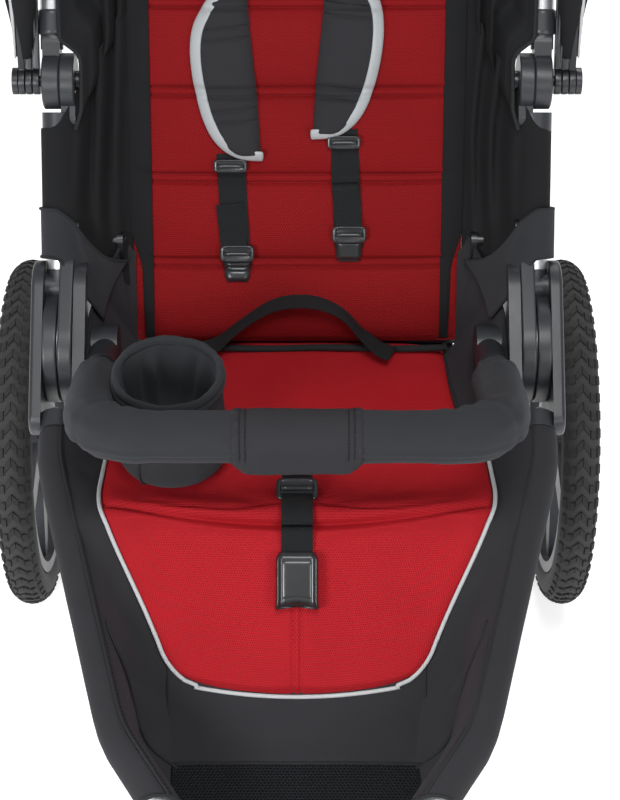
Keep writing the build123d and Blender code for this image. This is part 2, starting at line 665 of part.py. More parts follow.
TRAY_HALF = HANDLE_X - HANDLE_R - 3.0
tray_top_rise = TRAY_TOP - HUB_Z
clamp_rise = tray_top_rise - 0.5 * TRAY_HEIGHT - UPPER_HUB[1]
clamp_middle = step(UPPER_HUB, clamp_rise / sin(radians(UPPER_ANGLE)), UPPER_ANGLE)
LID_HINGE = (TRAY_FORWARD + 35.0, tray_top_rise + 4.5)
HINGE_PIN_R = 1.5
with BuildPart() as parent_tray:
    with BuildSketch(Plane(origin=spot(0, TRAY_FORWARD, tray_top_rise))):
        RectangleRounded(2 * TRAY_HALF, TRAY_DEPTH, 20)
    extrude(amount=-TRAY_HEIGHT)
    fillet(parent_tray.edges().group_by(Axis.Z)[0], 4)
    for side_name, side in SIDES:
        rod(spot(side * HANDLE_X, *step(clamp_middle, -8, UPPER_ANGLE)),
            spot(side * HANDLE_X, *step(clamp_middle, 8, UPPER_ANGLE)), HANDLE_R + 5)
        rod(spot(side * HANDLE_X, *step(clamp_middle, -40, UPPER_ANGLE)),
            spot(side * HANDLE_X, *step(clamp_middle, 40, UPPER_ANGLE)),
            HANDLE_R + RUNNING_GAP, Mode.SUBTRACT)
        hull_slab(side * 61, side * 67, [(*LID_HINGE, 3), (LID_HINGE[0], tray_top_rise - 1, 3)])
        rod(spot(side * 58, *LID_HINGE), spot(side * 70, *LID_HINGE),
            HINGE_PIN_R + RUNNING_GAP, Mode.SUBTRACT)
    with BuildSketch(Plane(origin=spot(0, TRAY_FORWARD, tray_top_rise))):
        with Locations((-CUP_X, 0), (CUP_X, 0)):
            Circle(CUP_BORE_R + CUP_WALL + 0.1)
    extrude(amount=-TRAY_HEIGHT - 1, mode=Mode.SUBTRACT)
    with BuildSketch(Plane(origin=spot(0, TRAY_FORWARD, tray_top_rise))):
        RectangleRounded(POCKET_SIZE[0], POCKET_SIZE[1], 10)
    extrude(amount=-POCKET_SIZE[2], mode=Mode.SUBTRACT)
save(parent_tray.part, "parent_tray")

for side_name, side in SIDES:
    with BuildPart() as cup_well:
        with BuildSketch(Plane(origin=spot(side * CUP_X, TRAY_FORWARD, tray_top_rise))):
            Circle(CUP_BORE_R + CUP_WALL)
        extrude(amount=-CUP_DEPTH - CUP_WALL)
        with BuildSketch(Plane(origin=spot(side * CUP_X, TRAY_FORWARD, tray_top_rise + 0.3))):
            Circle(CUP_BORE_R + CUP_WALL + 3)
        extrude(amount=2)
        with BuildSketch(Plane(origin=spot(side * CUP_X, TRAY_FORWARD, tray_top_rise))):
            Circle(CUP_BORE_R + CUP_WALL)
        extrude(amount=1)
        with BuildSketch(Plane(origin=spot(side * CUP_X, TRAY_FORWARD, tray_top_rise + 3))):
            Circle(CUP_BORE_R)
        extrude(amount=-CUP_DEPTH - 3, mode=Mode.SUBTRACT)
    save(cup_well.part, f"cup_well_{side_name}")

with BuildPart() as tray_lid:
    with BuildSketch(Plane(origin=spot(0, TRAY_FORWARD - 1, tray_top_rise + 1.5))):
        RectangleRounded(POCKET_SIZE[0] + 8, POCKET_SIZE[1] + 6, 10)
    extrude(amount=4)
    fillet(tray_lid.edges().group_by(Axis.Z)[-1], 1.5)
    for side_name, side in SIDES:
        hull_slab(side * 60.7, side * 72, [(*LID_HINGE, 3.7), (LID_HINGE[0], LID_HINGE[1] - 6, 3.7)],
                  Mode.SUBTRACT)
    rod(spot(-60.3, *LID_HINGE), spot(60.3, *LID_HINGE), 3)
    rod(spot(-67, *LID_HINGE), spot(67, *LID_HINGE), HINGE_PIN_R)
save(tray_lid.part, "tray_lid")

# ---------------------------------------------------------------- backrest
with BuildPart() as back_board:
    side_slab(-SEAT_HALF + 5, SEAT_HALF - 5,
              slab_corners(CREASE, BACK_ANGLE, 12, BACK_LENGTH - 5, CUSHION + 4.3, CUSHION + 4 + BOARD))
    hull_slab(-SEAT_HALF - 7, SEAT_HALF + 7,
              [(*RECLINE_PIVOT, 9), (*step(CREASE, 24, BACK_ANGLE, CUSHION + 8), 3.6)])
    rod(spot(-SEAT_HALF - 8, *RECLINE_PIVOT), spot(SEAT_HALF + 8, *RECLINE_PIVOT),
        RECLINE_R + RUNNING_GAP, Mode.SUBTRACT)
save(back_board.part, "back_board")

with BuildPart() as back_cushion:
    side_slab(-SEAT_HALF, SEAT_HALF, slab_corners(CREASE, BACK_ANGLE, 26, BACK_LENGTH, 0, CUSHION + 4))
    side_slab(-SEAT_HALF, SEAT_HALF, slab_corners(CREASE, BACK_ANGLE, 3, 26, 0, 10))
    fillet(back_cushion.edges().filter_by(Axis.X).group_by(Axis.Z)[-1], 12)
save(back_cushion.part, "back_cushion")

PAD_HALF = 26.0
PAD_THICK = 9.0
with BuildPart() as shoulder_pads:
    for middle, near, far in ((-66.0, 190.0, 400.0), (66.0, 210.0, 400.0)):
        side_slab(middle - PAD_HALF, middle + PAD_HALF,
                  slab_corners(CREASE, BACK_ANGLE, near, far, -PAD_THICK - 1, -1))
        side_slab(middle - 14, middle + 14, slab_corners(CREASE, BACK_ANGLE, near - 110, near, -4, -1.5))
save(shoulder_pads.part, "shoulder_pads")

with BuildPart() as harness_tongues:
    for middle, near in ((-66.0, 80.0), (66.0, 100.0)):
        side_slab(middle - 18, middle + 18, slab_corners(CREASE, BACK_ANGLE, near - 34, near, -9, -1.5))
save(harness_tongues.part, "harness_tongues")

# ---------------------------------------------------------------- rear legs and brake
LEG_ANGLE = 241.35
LEG_BORE = 10.5
AXLE_TUBE_R = 11.0
AXLE_TUBE_END = 262.0
for side_name, side in SIDES:
    with BuildPart() as rear_leg:
        leg_start = ray(ARM_END, LEG_ANGLE)
        hull_slab(side * HUB_LEG[0], side * HUB_LEG[1],
                  [(0, 0, HUB_DISC_R), (*ray(ARM_END - 18, LEG_ANGLE), 15)])
        hull_slab(side * HUB_ARM[0], side * HUB_LEG[1],
                  [(*ray(HUB_DISC_R + 17, LEG_ANGLE), 15), (*ray(ARM_END - 16, LEG_ANGLE), 15)])
        rod(spot(side * TUBE_X, *ray(ARM_END - 20, LEG_ANGLE)), spot(side * TUBE_X, *REAR_AXLE), 12.5)
        hull_slab(side * (TUBE_X - 14), side * (TUBE_X + 14), [(*REAR_AXLE, 17)])
        rod(spot(side * TUBE_X, *leg_start), spot(side * TUBE_X, *REAR_AXLE), LEG_BORE, Mode.SUBTRACT)
        rod(spot(side * 200, *REAR_AXLE), spot(side * 270, *REAR_AXLE),
            AXLE_TUBE_R + RUNNING_GAP, Mode.SUBTRACT)
        rod(spot(side * (HUB_ARM[0] - 1), 0, 0), spot(side * (HUB_LEG[1] + 1), 0, 0),
            HUB_BOLT_R + RUNNING_GAP, Mode.SUBTRACT)
    save(rear_leg.part, f"rear_leg_{side_name}")

with BuildPart() as axle_tube:
    rod(spot(-AXLE_TUBE_END, *REAR_AXLE), spot(AXLE_TUBE_END, *REAR_AXLE), AXLE_TUBE_R)
    for side_name, side in SIDES:
        rod(spot(side * AXLE_TUBE_END, *REAR_AXLE), spot(side * 321, *REAR_AXLE), AXLE_R)
        rod(spot(side * AXLE_TUBE_END, *REAR_AXLE), spot(side * 272, *REAR_AXLE), 15)
save(axle_tube.part, "axle_tube")

with BuildPart() as brake_pedal:
    hull_slab(-30, 30, [(*REAR_AXLE, 17)])
    side_slab(-34, 34, [
        (REAR_AXLE[0] - 12, REAR_AXLE[1] + 2),
        (REAR_AXLE[0] - 12, REAR_AXLE[1] + 12),
        (REAR_AXLE[0] - 74, REAR_AXLE[1] + 20),
        (REAR_AXLE[0] - 74, REAR_AXLE[1] + 12),
    ])
    rod(spot(-40, *REAR_AXLE), spot(40, *REAR_AXLE), AXLE_TUBE_R + RUNNING_GAP, Mode.SUBTRACT)
save(brake_pedal.part, "brake_pedal")

# ---------------------------------------------------------------- bumper bar
with BuildPart() as bar_sockets:
    for side_name, side in SIDES:
        hull_slab(side * 176, side * 204.4, [(0, 0, 23)])
        rod(spot(side * BAR_X, 0, 0), spot(side * BAR_X, *ray(62, BAR_ANGLE)), 15)
        rod(spot(side * BAR_X, *ray(26, BAR_ANGLE)), spot(side * BAR_X, *ray(63, BAR_ANGLE)),
            BAR_TUBE_R + RUNNING_GAP, Mode.SUBTRACT)
        rod(spot(side * 170, 0, 0), spot(side * 206, 0, 0), HUB_BOLT_R + RUNNING_GAP, Mode.SUBTRACT)
save(bar_sockets.part, "bar_sockets")


def bar_route(start):
    """Corner points of the bar's U, from a distance out along each leg."""
    near = ray(start, BAR_ANGLE)
    far = ray(BAR_REACH, BAR_ANGLE)
    return [spot(-BAR_X, *near), spot(-BAR_X, *far), spot(BAR_X, *far), spot(BAR_X, *near)]


with BuildPart() as bar_tube:
    pipe(bar_route(28), BAR_CORNER, BAR_TUBE_R, 8)
save(bar_tube.part, "bar_tube")

with BuildPart() as bar_pad:
    pipe(bar_route(101), BAR_CORNER, BAR_PAD_R, BAR_TUBE_R + RUNNING_GAP)
save(bar_pad.part, "bar_pad")

SOFT_CUP = (-117.0, 136.0)
SOFT_CUP_R = 47.0
SOFT_CUP_Z = (30.0, 104.0)
with BuildPart() as cup_holder:
    rod(spot(*SOFT_CUP, SOFT_CUP_Z[0]), spot(*SOFT_CUP, SOFT_CUP_Z[1]), SOFT_CUP_R)
    fillet(cup_holder.edges().group_by(Axis.Z)[0], 14)
    offset(amount=-3, openings=cup_holder.faces().sort_by(Axis.Z)[-1])
save(cup_holder.part, "cup_holder")
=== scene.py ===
import json
from math import acos, atan2, ceil, cos, degrees, exp, hypot, pi, radians, sin, sqrt

import bpy
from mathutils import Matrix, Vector, noise


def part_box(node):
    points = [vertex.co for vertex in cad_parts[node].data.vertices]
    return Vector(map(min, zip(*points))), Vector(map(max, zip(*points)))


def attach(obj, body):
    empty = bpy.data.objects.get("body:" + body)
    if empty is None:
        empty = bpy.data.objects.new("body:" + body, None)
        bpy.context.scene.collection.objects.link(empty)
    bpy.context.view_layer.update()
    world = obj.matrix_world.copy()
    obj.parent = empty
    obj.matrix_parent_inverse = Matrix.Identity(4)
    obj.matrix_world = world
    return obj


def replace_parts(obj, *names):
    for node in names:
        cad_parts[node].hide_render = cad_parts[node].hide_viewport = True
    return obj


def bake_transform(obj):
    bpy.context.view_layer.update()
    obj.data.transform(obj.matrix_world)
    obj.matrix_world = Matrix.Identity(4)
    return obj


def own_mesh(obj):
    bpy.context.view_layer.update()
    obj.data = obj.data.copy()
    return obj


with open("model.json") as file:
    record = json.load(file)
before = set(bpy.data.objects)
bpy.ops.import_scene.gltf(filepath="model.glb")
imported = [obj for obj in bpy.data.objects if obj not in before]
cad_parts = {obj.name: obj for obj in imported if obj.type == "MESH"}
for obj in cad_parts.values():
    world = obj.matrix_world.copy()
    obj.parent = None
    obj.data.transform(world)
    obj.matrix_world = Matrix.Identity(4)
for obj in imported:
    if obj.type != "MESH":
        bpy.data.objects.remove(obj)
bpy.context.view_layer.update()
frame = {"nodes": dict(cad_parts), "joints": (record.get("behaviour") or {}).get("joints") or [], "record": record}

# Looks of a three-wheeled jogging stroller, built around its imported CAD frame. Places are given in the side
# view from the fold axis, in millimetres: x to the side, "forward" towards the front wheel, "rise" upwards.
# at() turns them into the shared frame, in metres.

JOINTS = {joint["name"]: joint for joint in frame["joints"]}
HUB = Vector(JOINTS["fold"]["pos_m"])


def at(x, forward, rise):
    """Point in the shared frame from millimetres about the fold axis."""
    return Vector((x / 1000, HUB.y - forward / 1000, HUB.z + rise / 1000))


def ray(distance, angle):
    """Forward and rise at a distance from the fold axis."""
    return (distance * cos(radians(angle)), distance * sin(radians(angle)))


def step(start, distance, angle, side=0.0):
    """Forward and rise after a walk from start; side is to the left of the walk."""
    along, across = ray(distance, angle), ray(side, angle + 90)
    return (start[0] + along[0] + across[0], start[1] + along[1] + across[1])


def mix(a, b, t):
    """Value part of the way from a to b."""
    return a + (b - a) * t


def clamp01(t):
    """t kept from 0 to 1."""
    return min(1.0, max(0.0, t))


def ease(t):
    """Smooth step from 0 to 1."""
    t = clamp01(t)
    return t * t * (3 - 2 * t)


def table(value, stops):
    """Straight-line interpolation in a list of (value, result)."""
    if value <= stops[0][0]:
        return stops[0][1]
    for (v0, r0), (v1, r1) in zip(stops, stops[1:]):
        if value <= v1:
            return mix(r0, r1, (value - v0) / (v1 - v0))
    return stops[-1][1]


def spread(low, high, count):
    """Evenly spaced values, both ends included."""
    return [mix(low, high, i / (count - 1)) for i in range(count)]


def bell(offset, width):
    """Bell curve of height 1 about zero."""
    return exp(-(offset / width) ** 2)


def squared(value, power):
    """Cosine or sine raised to a power below 1, sign kept, which turns a circle into a rounded box."""
    return abs(value) ** power * (1 if value >= 0 else -1)


def ripple(point, size, seed=0.0):
    """Smooth noise from -1 to 1 at a point in metres, with features of a size in millimetres."""
    return noise.noise(point * (1000 / size) + Vector((seed, 7.3 * seed, 1.7)))


# Geometry shared with the CAD model
SIDES = (("left", -1), ("right", 1))
CREASE = (-45.0, -45.0)
PAN_ANGLE = 8.0
PAN_LENGTH = 250.0
BACK_ANGLE = 120.0
BACK_LENGTH = 520.0
CALF_ANGLE = -45.0
PAN_FRONT = step(CREASE, PAN_LENGTH, PAN_ANGLE)
UPPER_ANGLE = 128.0
UPPER_HUB = ray(260, UPPER_ANGLE)
TUBE_X = 232.0
TUBE_R = 14.0
TUBE_STATIONS = ((95.9, 232.0, -20.4), (130.0, 232.0, -27.6), (400.0, 160.0, -86.0), (575.0, 40.0, -128.0))
BAR_ANGLE = 26.0
BAR_REACH = 240.0
BAR_X = 188.0
BAR_CORNER = 60.0
HANDLE_X = 236.7
ACROSS = Vector((1, 0, 0))

# ---------------------------------------------------------------- materials


class Look:
    """A procedural material and the wiring of its nodes."""

    def __init__(self, name, **constants):
        self.material = bpy.data.materials.new(name)
        self.material.use_nodes = True
        self.tree = self.material.node_tree
        self.shader = self.tree.nodes["Principled BSDF"]
        for socket, value in constants.items():
            self.shader.inputs[socket.replace("_", " ")].default_value = value

    def plug(self, socket, value):
        """Link a node or socket, or set a value."""
        if isinstance(value, bpy.types.Node):
            value = value.outputs[0]
        if isinstance(value, bpy.types.NodeSocket):
            self.tree.links.new(value, socket)
        else:
            socket.default_value = value

    def node(self, kind, inputs=None, **settings):
        """New shader node with its inputs linked or set."""
        made = self.tree.nodes.new("ShaderNode" + kind)
        for key, value in settings.items():
            setattr(made, key, value)
        for key, value in (inputs or {}).items():
            self.plug(made.inputs[key], value)
        return made

    def math(self, operation, *values):
        """Math node."""
        return self.node("Math", dict(enumerate(values)), operation=operation)

    def colours(self, factor, a, b):
        """Mix of two colours."""
        made = self.node("Mix", {0: factor, 6: (*a, 1) if isinstance(a, tuple) else a,
                                 7: (*b, 1) if isinstance(b, tuple) else b}, data_type="RGBA")
        return made.outputs[2]

    def place(self, uv, scale):
        """Texture place: UVs or object coordinates, both in metres, times a scale."""
        source = self.node("TexCoord").outputs["UV" if uv else "Object"]
        return self.node("VectorMath", {0: source, "Scale": scale}, operation="SCALE").outputs[0]

    def noise(self, scale, detail=3.0):
        """Noise of a scale in features per metre."""
        inputs = {"Vector": self.place(False, 1.0), "Scale": scale, "Detail": detail}
        return self.node("TexNoise", inputs).outputs[0]

    def weave(self, pitch, uv):
        """Plain weave with a pitch in millimetres, as a height from -1 to 1."""
        parts = self.node("SeparateXYZ", {0: self.place(uv, 2000 * pi / pitch)})
        x, y, z = (self.math("SINE", parts.outputs[i]) for i in range(3))
        if uv:
            return self.math("MULTIPLY", x, y)
        pair = self.math("ADD", self.math("MULTIPLY", x, y), self.math("MULTIPLY", y, z))
        return self.math("MULTIPLY", self.math("ADD", pair, self.math("MULTIPLY", z, x)), 0.6)

    def holes(self, pitch):
        """Staggered round dimples of a spacer mesh, as a distance from the nearest dimple in pitches."""
        cell = (1.0, sqrt(3.0), 1.0)
        stretched = self.node("VectorMath", {0: self.place(True, 1000 / pitch), 1: cell}, operation="DIVIDE")
        near = []
        for shift in (0.0, 0.5):
            moved = self.node("VectorMath", {0: stretched, 1: (shift, shift, 0)}, operation="ADD")
            part = self.node("VectorMath", {0: moved}, operation="FRACTION")
            centred = self.node("VectorMath", {0: part, 1: (0.5, 0.5, 0)}, operation="SUBTRACT")
            sized = self.node("VectorMath", {0: centred, 1: cell}, operation="MULTIPLY")
            near.append(self.node("VectorMath", {0: sized}, operation="LENGTH").outputs["Value"])
        return self.math("MINIMUM", *near)

    def finish(self, colour, height, strength, distance, roughness=None):
        """Colour, bump and roughness into the shader."""
        self.plug(self.shader.inputs["Base Color"], colour)
        bump = self.node("Bump", {"Strength": strength, "Distance": distance, "Height": height})
        self.plug(self.shader.inputs["Normal"], bump)
        if roughness is not None:
            self.plug(self.shader.inputs["Roughness"], roughness)
        return self.material


def shade(colour, factor):
    """A colour made lighter or darker."""
    return tuple(min(1.0, c * factor) for c in colour)


def cloth_look(name, colour, pitch, uv=True, sheen=0.25, rough=0.85, bump=0.5):
    """Woven polyester: weave bump, slightly uneven dye and a soft sheen."""
    look = Look(name, Sheen_Weight=sheen, Sheen_Roughness=0.5, Sheen_Tint=(*shade(colour, 4), 1),
                Specular_IOR_Level=0.25)
    height = look.weave(pitch, uv)
    thread = look.math("MULTIPLY_ADD", height, 0.3, 0.5)
    uneven = look.colours(look.noise(18, 5), shade(colour, 0.82), shade(colour, 1.22))
    base = look.colours(thread, shade(colour, 0.62), uneven)
    grain = look.math("MULTIPLY_ADD", look.noise(420, 2), 0.5, height)
    dull = look.math("MULTIPLY_ADD", look.noise(30), 0.14, rough - 0.07)
    return look.finish(base, grain, bump, pitch * 0.0003, dull)


def mesh_look(name, colour, pitch, depth=0.55, rough=0.82, sheen=0.35, dark=0.4):
    """Spacer mesh with staggered dimples."""
    look = Look(name, Sheen_Weight=sheen, Sheen_Roughness=0.45, Sheen_Tint=(*shade(colour, 2), 1),
                Specular_IOR_Level=0.2)
    edge = look.holes(pitch)
    open_part = look.node("MapRange", {0: edge, 1: 0.16, 2: 0.40, 3: 0.0, 4: 1.0})
    uneven = look.colours(look.noise(14, 4), shade(colour, 0.84), shade(colour, 1.14))
    base = look.colours(open_part, shade(colour, dark), uneven)
    yarn = look.math("MULTIPLY_ADD", look.noise(900, 2), 0.25, open_part)
    return look.finish(base, yarn, depth, pitch * 0.0003, rough)


def plastic_look(name, colour, rough, grain=0.12, coat=0.0):
    """Moulded plastic: fine grain, faint mottling and edges rubbed lighter."""
    look = Look(name, Coat_Weight=coat, Coat_Roughness=0.12, Specular_IOR_Level=0.5)
    mottled = look.colours(look.noise(9, 4), shade(colour, 0.85), shade(colour, 1.2))
    edge = look.node("MapRange", {0: look.node("NewGeometry").outputs["Pointiness"], 1: 0.52, 2: 0.62})
    worn = look.math("MULTIPLY", edge, look.noise(60))
    base = look.colours(worn, mottled, tuple(c * 2.2 + 0.02 for c in colour))
    dull = look.math("MULTIPLY_ADD", look.noise(24), 0.16, rough - 0.08)
    return look.finish(base, look.noise(1500, 2), grain, 0.0006, dull)


def metal_look(name, colour, rough, scale, metallic):
    """Painted or plated metal with fine flake and faint handling marks."""
    look = Look(name, Metallic=metallic, Coat_Weight=0.15, Coat_Roughness=0.2)
    base = look.colours(look.noise(scale, 2), shade(colour, 0.93), shade(colour, 1.06))
    dull = look.math("MULTIPLY_ADD", look.noise(35, 6), 0.16, rough - 0.08)
    return look.finish(base, look.noise(scale * 2, 2), 0.05, 0.0003, dull)


def rubber_look():
    """Tyre rubber, darker in its hollows and lighter on its edges, with patches of dust."""
    look = Look("tyre_rubber", Specular_IOR_Level=0.35)
    edge = look.node("MapRange", {0: look.node("NewGeometry").outputs["Pointiness"], 1: 0.42, 2: 0.56})
    base = look.colours(edge, (0.016, 0.016, 0.017), (0.04, 0.041, 0.044))
    dusty = look.colours(look.math("MULTIPLY", look.noise(30, 6), 0.35), base, (0.085, 0.082, 0.078))
    return look.finish(dusty, look.noise(700, 4), 0.25, 0.0005, 0.78)


def foam_look():
    """Closed-cell foam with fine pores."""
    look = Look("grip_foam", Specular_IOR_Level=0.25, Roughness=0.9)
    pores = look.node("TexVoronoi", {"Vector": look.place(False, 1.0), "Scale": 620.0}).outputs[0]
    base = look.colours(pores, (0.011, 0.011, 0.012), (0.032, 0.032, 0.035))
    return look.finish(base, pores, 0.5, 0.0006)


LOOKS = {
    "red_mesh": mesh_look("red_mesh", (0.41, 0.0095, 0.016), 2.6, depth=0.6, dark=0.62),
    # Darker copy of red_mesh for the backrest: the same fabric with painted shade, standing for the shade the
    # backrest sits in.
    "painted_shade_red_mesh": mesh_look("painted_shade_red_mesh", (0.225, 0.003, 0.005), 2.6, depth=0.6, dark=0.55, sheen=0.12),
    "black_cloth": cloth_look("black_cloth", (0.029, 0.0285, 0.033), 1.3),
    # Copy of black_cloth at about a third of its brightness, with less sheen: painted shade for the wings, which
    # sit in shade. It is also used for the backrest border, the canopy and the back cover.
    "painted_shade_cloth": cloth_look("painted_shade_cloth", (0.0105, 0.011, 0.0125), 1.3, sheen=0.12),
    "soft_cloth": cloth_look("soft_cloth", (0.029, 0.0305, 0.0345), 1.1, sheen=0.5, rough=0.9),
    "webbing": cloth_look("webbing", (0.017, 0.019, 0.021), 1.9, sheen=0.15, rough=0.7, bump=0.9),
    "piping": cloth_look("piping", (0.62, 0.635, 0.65), 1.0, sheen=0.1, rough=0.6),
    "binding": cloth_look("binding", (0.52, 0.55, 0.57), 1.2, sheen=0.1, rough=0.65),
    "dark_binding": cloth_look("dark_binding", (0.02, 0.0215, 0.0235), 0.9, sheen=0.3, rough=0.75),
    "lining": cloth_look("lining", (0.17, 0.175, 0.185), 1.2, sheen=0.2),
    "shiny_mesh": mesh_look("shiny_mesh", (0.012, 0.0135, 0.016), 3.4, depth=1.0, rough=0.3, sheen=0.1,
                            dark=0.25),
    "red_thread": cloth_look("red_thread", (0.16, 0.006, 0.009), 0.6),
    "black_thread": cloth_look("black_thread", (0.009, 0.0095, 0.0105), 0.6),
    "dark_plastic": plastic_look("dark_plastic", (0.024, 0.0265, 0.031), 0.38),
    "rim_plastic": plastic_look("rim_plastic", (0.038, 0.041, 0.047), 0.36),
    "gloss_plastic": plastic_look("gloss_plastic", (0.016, 0.018, 0.02), 0.34, 0.06, 0.25),
    "silver": metal_look("silver", (0.66, 0.67, 0.69), 0.34, 900.0, 0.82),
    "steel": metal_look("steel", (0.62, 0.61, 0.6), 0.28, 300.0, 1.0),
    "dark_steel": metal_look("dark_steel", (0.05, 0.052, 0.056), 0.36, 300.0, 0.9),
    "tyre": rubber_look(),
    "foam": foam_look(),
}
SLOT_LOOKS = {
    "tyre": "tyre", "rim": "rim_plastic", "frame_metal": "silver", "dark_plastic": "dark_plastic",
    "gloss_plastic": "gloss_plastic", "hardware": "steel", "red_mesh": "red_mesh",
    "black_fabric": "black_cloth", "webbing": "webbing", "padding": "soft_cloth", "foam_grip": "foam",
}

# ---------------------------------------------------------------- mesh building


def piece(name, verts, faces, look, body=None, corners=None):
    """Smooth mesh object with UVs for each face corner; it rides on a body when one is named."""
    mesh = bpy.data.meshes.new(name)
    mesh.from_pydata([tuple(v) for v in verts], [], faces)
    if corners:
        layer = mesh.uv_layers.new(name="UVMap")
        layer.data.foreach_set("uv", [value for corner in corners for value in corner])
    mesh.polygons.foreach_set("use_smooth", [True] * len(mesh.polygons))
    mesh.materials.append(LOOKS[look])
    made = bpy.data.objects.new(name, mesh)
    bpy.context.scene.collection.objects.link(made)
    if body:
        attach(made, body)
    return made


def lengths(points, closed=False):
    """Running length along points."""
    out = [0.0]
    for a, b in zip(points, points[1:] + points[:1] if closed else points[1:]):
        out.append(out[-1] + (b - a).length)
    return out


def grid(rows, closed=False, caps=False):
    """Vertices, faces and corner UVs, in metres, of a surface through rows of points."""
    n, m = len(rows), len(rows[0])
    middle = rows[n // 2]
    u = lengths(middle, closed)
    v = lengths([row[m // 2] for row in rows])
    verts = [p for row in rows for p in row]
    faces, corners = [], []
    for i in range(n - 1):
        for j in range(m if closed else m - 1):
            k = (j + 1) % m
            faces.append((i * m + j, i * m + k, (i + 1) * m + k, (i + 1) * m + j))
            corners += [(u[j], v[i]), (u[j + 1], v[i]), (u[j + 1], v[i + 1]), (u[j], v[i + 1])]
    if caps:
        faces += [tuple(range(m))[::-1], tuple(range((n - 1) * m, n * m))]
        corners += [(u[j], 0.0) for j in range(m)] * 2
    return verts, faces, corners


def surface(name, rows, look, body=None, closed=False, caps=False):
    """Object from rows of points."""
    verts, faces, corners = grid(rows, closed, caps)
    return piece(name, verts, faces, look, body, corners)


def modify(obj, kind, **settings):
    """Add a modifier."""
    made = obj.modifiers.new(kind.title(), kind)
    for key, value in settings.items():
        setattr(made, key, value)
    return made


def settle(obj):
    """Apply every modifier to the mesh."""
    bpy.context.view_layer.update()
    final = bpy.data.meshes.new_from_object(obj.evaluated_get(bpy.context.evaluated_depsgraph_get()))
    obj.modifiers.clear()
    old = obj.data
    obj.data = final
    bpy.data.meshes.remove(old)
    return obj


def soften(obj):
    """Subdivide once and apply every modifier."""
    modify(obj, "SUBSURF", levels=1, render_levels=1)
    return settle(obj)


def thicken(obj, thickness):
    """Give a cloth surface its thickness and a finer mesh."""
    modify(obj, "SOLIDIFY", thickness=thickness / 1000, offset=-1, use_rim=True)
    return soften(obj)


def declare_sheet(obj, rows):
    """Measure the flat size that a cloth's shaped rows need; the size is not used, and the piece comes back as it
    is. Declare cloth at the flat size that its shaped rows measure, which isn't a cut known on its own.
    """
    width = max(lengths(row)[-1] for row in rows)
    length = max(lengths([row[j] for row in rows])[-1] for j in range(len(rows[0])))
    width, length = round(width, 3), round(length, 3)
    return obj


def rounded(points, radius, arc_steps):
    """Path through points with rounded corners, as a list of points."""
    out = [points[0]]
    for before, corner, after in zip(points, points[1:], points[2:]):
        a, b = (before - corner).normalized(), (after - corner).normalized()
        half = 0.5 * acos(max(-1.0, min(1.0, a.dot(b))))
        reach = radius / 1000 / (sin(half) / cos(half))
        start, end = corner + a * reach, corner + b * reach
        centre = corner + (a + b).normalized() * (radius / 1000 / sin(half))
        reach = (start - centre).length
        for t in spread(0, 1, arc_steps + 1):
            out.append(centre + (start - centre).slerp(end - centre, t) * reach)
    return out + [points[-1]]


def resample_count(points, count):
    """Given number of evenly spaced points along a path."""
    run = lengths(points)
    out, k = [], 0
    for target in spread(0.0, run[-1], count):
        while k < len(run) - 2 and run[k + 1] < target:
            k += 1
        t = (target - run[k]) / max(run[k + 1] - run[k], 1e-9)
        out.append(points[k].lerp(points[k + 1], clamp01(t)))
    return out


def resample(points, gap):
    """Evenly spaced points along a path, about gap millimetres apart."""
    return resample_count(points, max(2, int(ceil(lengths(points)[-1] * 1000 / gap)) + 1))


def bend_through(points, gap):
    """Smooth curve through points, evenly sampled."""
    ends = [points[0] * 2 - points[1]] + list(points) + [points[-1] * 2 - points[-2]]
    out = []
    for a, b, c, d in zip(ends, ends[1:], ends[2:], ends[3:]):
        for t in spread(0, 1, 13)[:-1]:
            out.append(0.5 * (2 * b + (c - a) * t + (2 * a - 5 * b + 4 * c - d) * t ** 2
                              + (3 * b - a - 3 * c + d) * t ** 3))
    return resample(out + [points[-1]], gap)


def heading(path, i):
    """Direction of a path at one of its points."""
    return (path[min(i + 1, len(path) - 1)] - path[max(i - 1, 0)]).normalized()


def frames_of(path, first_side):
    """Side and top direction at each point of a path, carried along without twist."""
    side, out = first_side, []
    for i in range(len(path)):
        tangent = heading(path, i)
        side = (side - tangent * side.dot(tangent)).normalized()
        out.append((side, tangent.cross(side)))
    return out


def sweep(name, path, radius, look, body=None, turns=16, first_side=ACROSS, caps=True):
    """Tube along a path; radius is in millimetres, or a function of (distance in mm, angle, point)."""
    run = lengths(path)
    rows = []
    for point, (side, top), distance in zip(path, frames_of(path, first_side), run):
        row = []
        for j in range(turns):
            angle = 2 * pi * j / turns
            reach = radius(distance * 1000, angle, point) if callable(radius) else radius
            row.append(point + (side * cos(angle) + top * sin(angle)) * reach / 1000)
        rows.append(row)
    return surface(name, rows, look, body, closed=True, caps=caps)


def trim(name, path, radius, body="front_frame", look="dark_binding", turns=8):
    """Thin rolled binding or piping along a path."""
    return sweep(name, path, radius, look, body, turns=turns)


def ribbon(name, path, side, width, thick, body):
    """Flat webbing strap along a path, lying on the path's own line; side is its direction across."""
    half, edge = width / 2000, min(thick, 2.0) / 2000
    section = [(-half, 0.3), (-half + edge, 0), (-half / 2, 0), (0, 0), (half / 2, 0), (half - edge, 0),
               (half, 0.3), (half, 0.7), (half - edge, 1), (half / 2, 1), (0, 1), (-half / 2, 1),
               (-half + edge, 1), (-half, 0.7)]
    rows = []
    for i, point in enumerate(path):
        tangent = heading(path, i)
        across = (side - tangent * side.dot(tangent)).normalized()
        up = across.cross(tangent)
        rows.append([point + across * a + up * (b * thick) / 1000 for a, b in section])
    return surface(name, rows, "webbing", body, closed=True, caps=True)


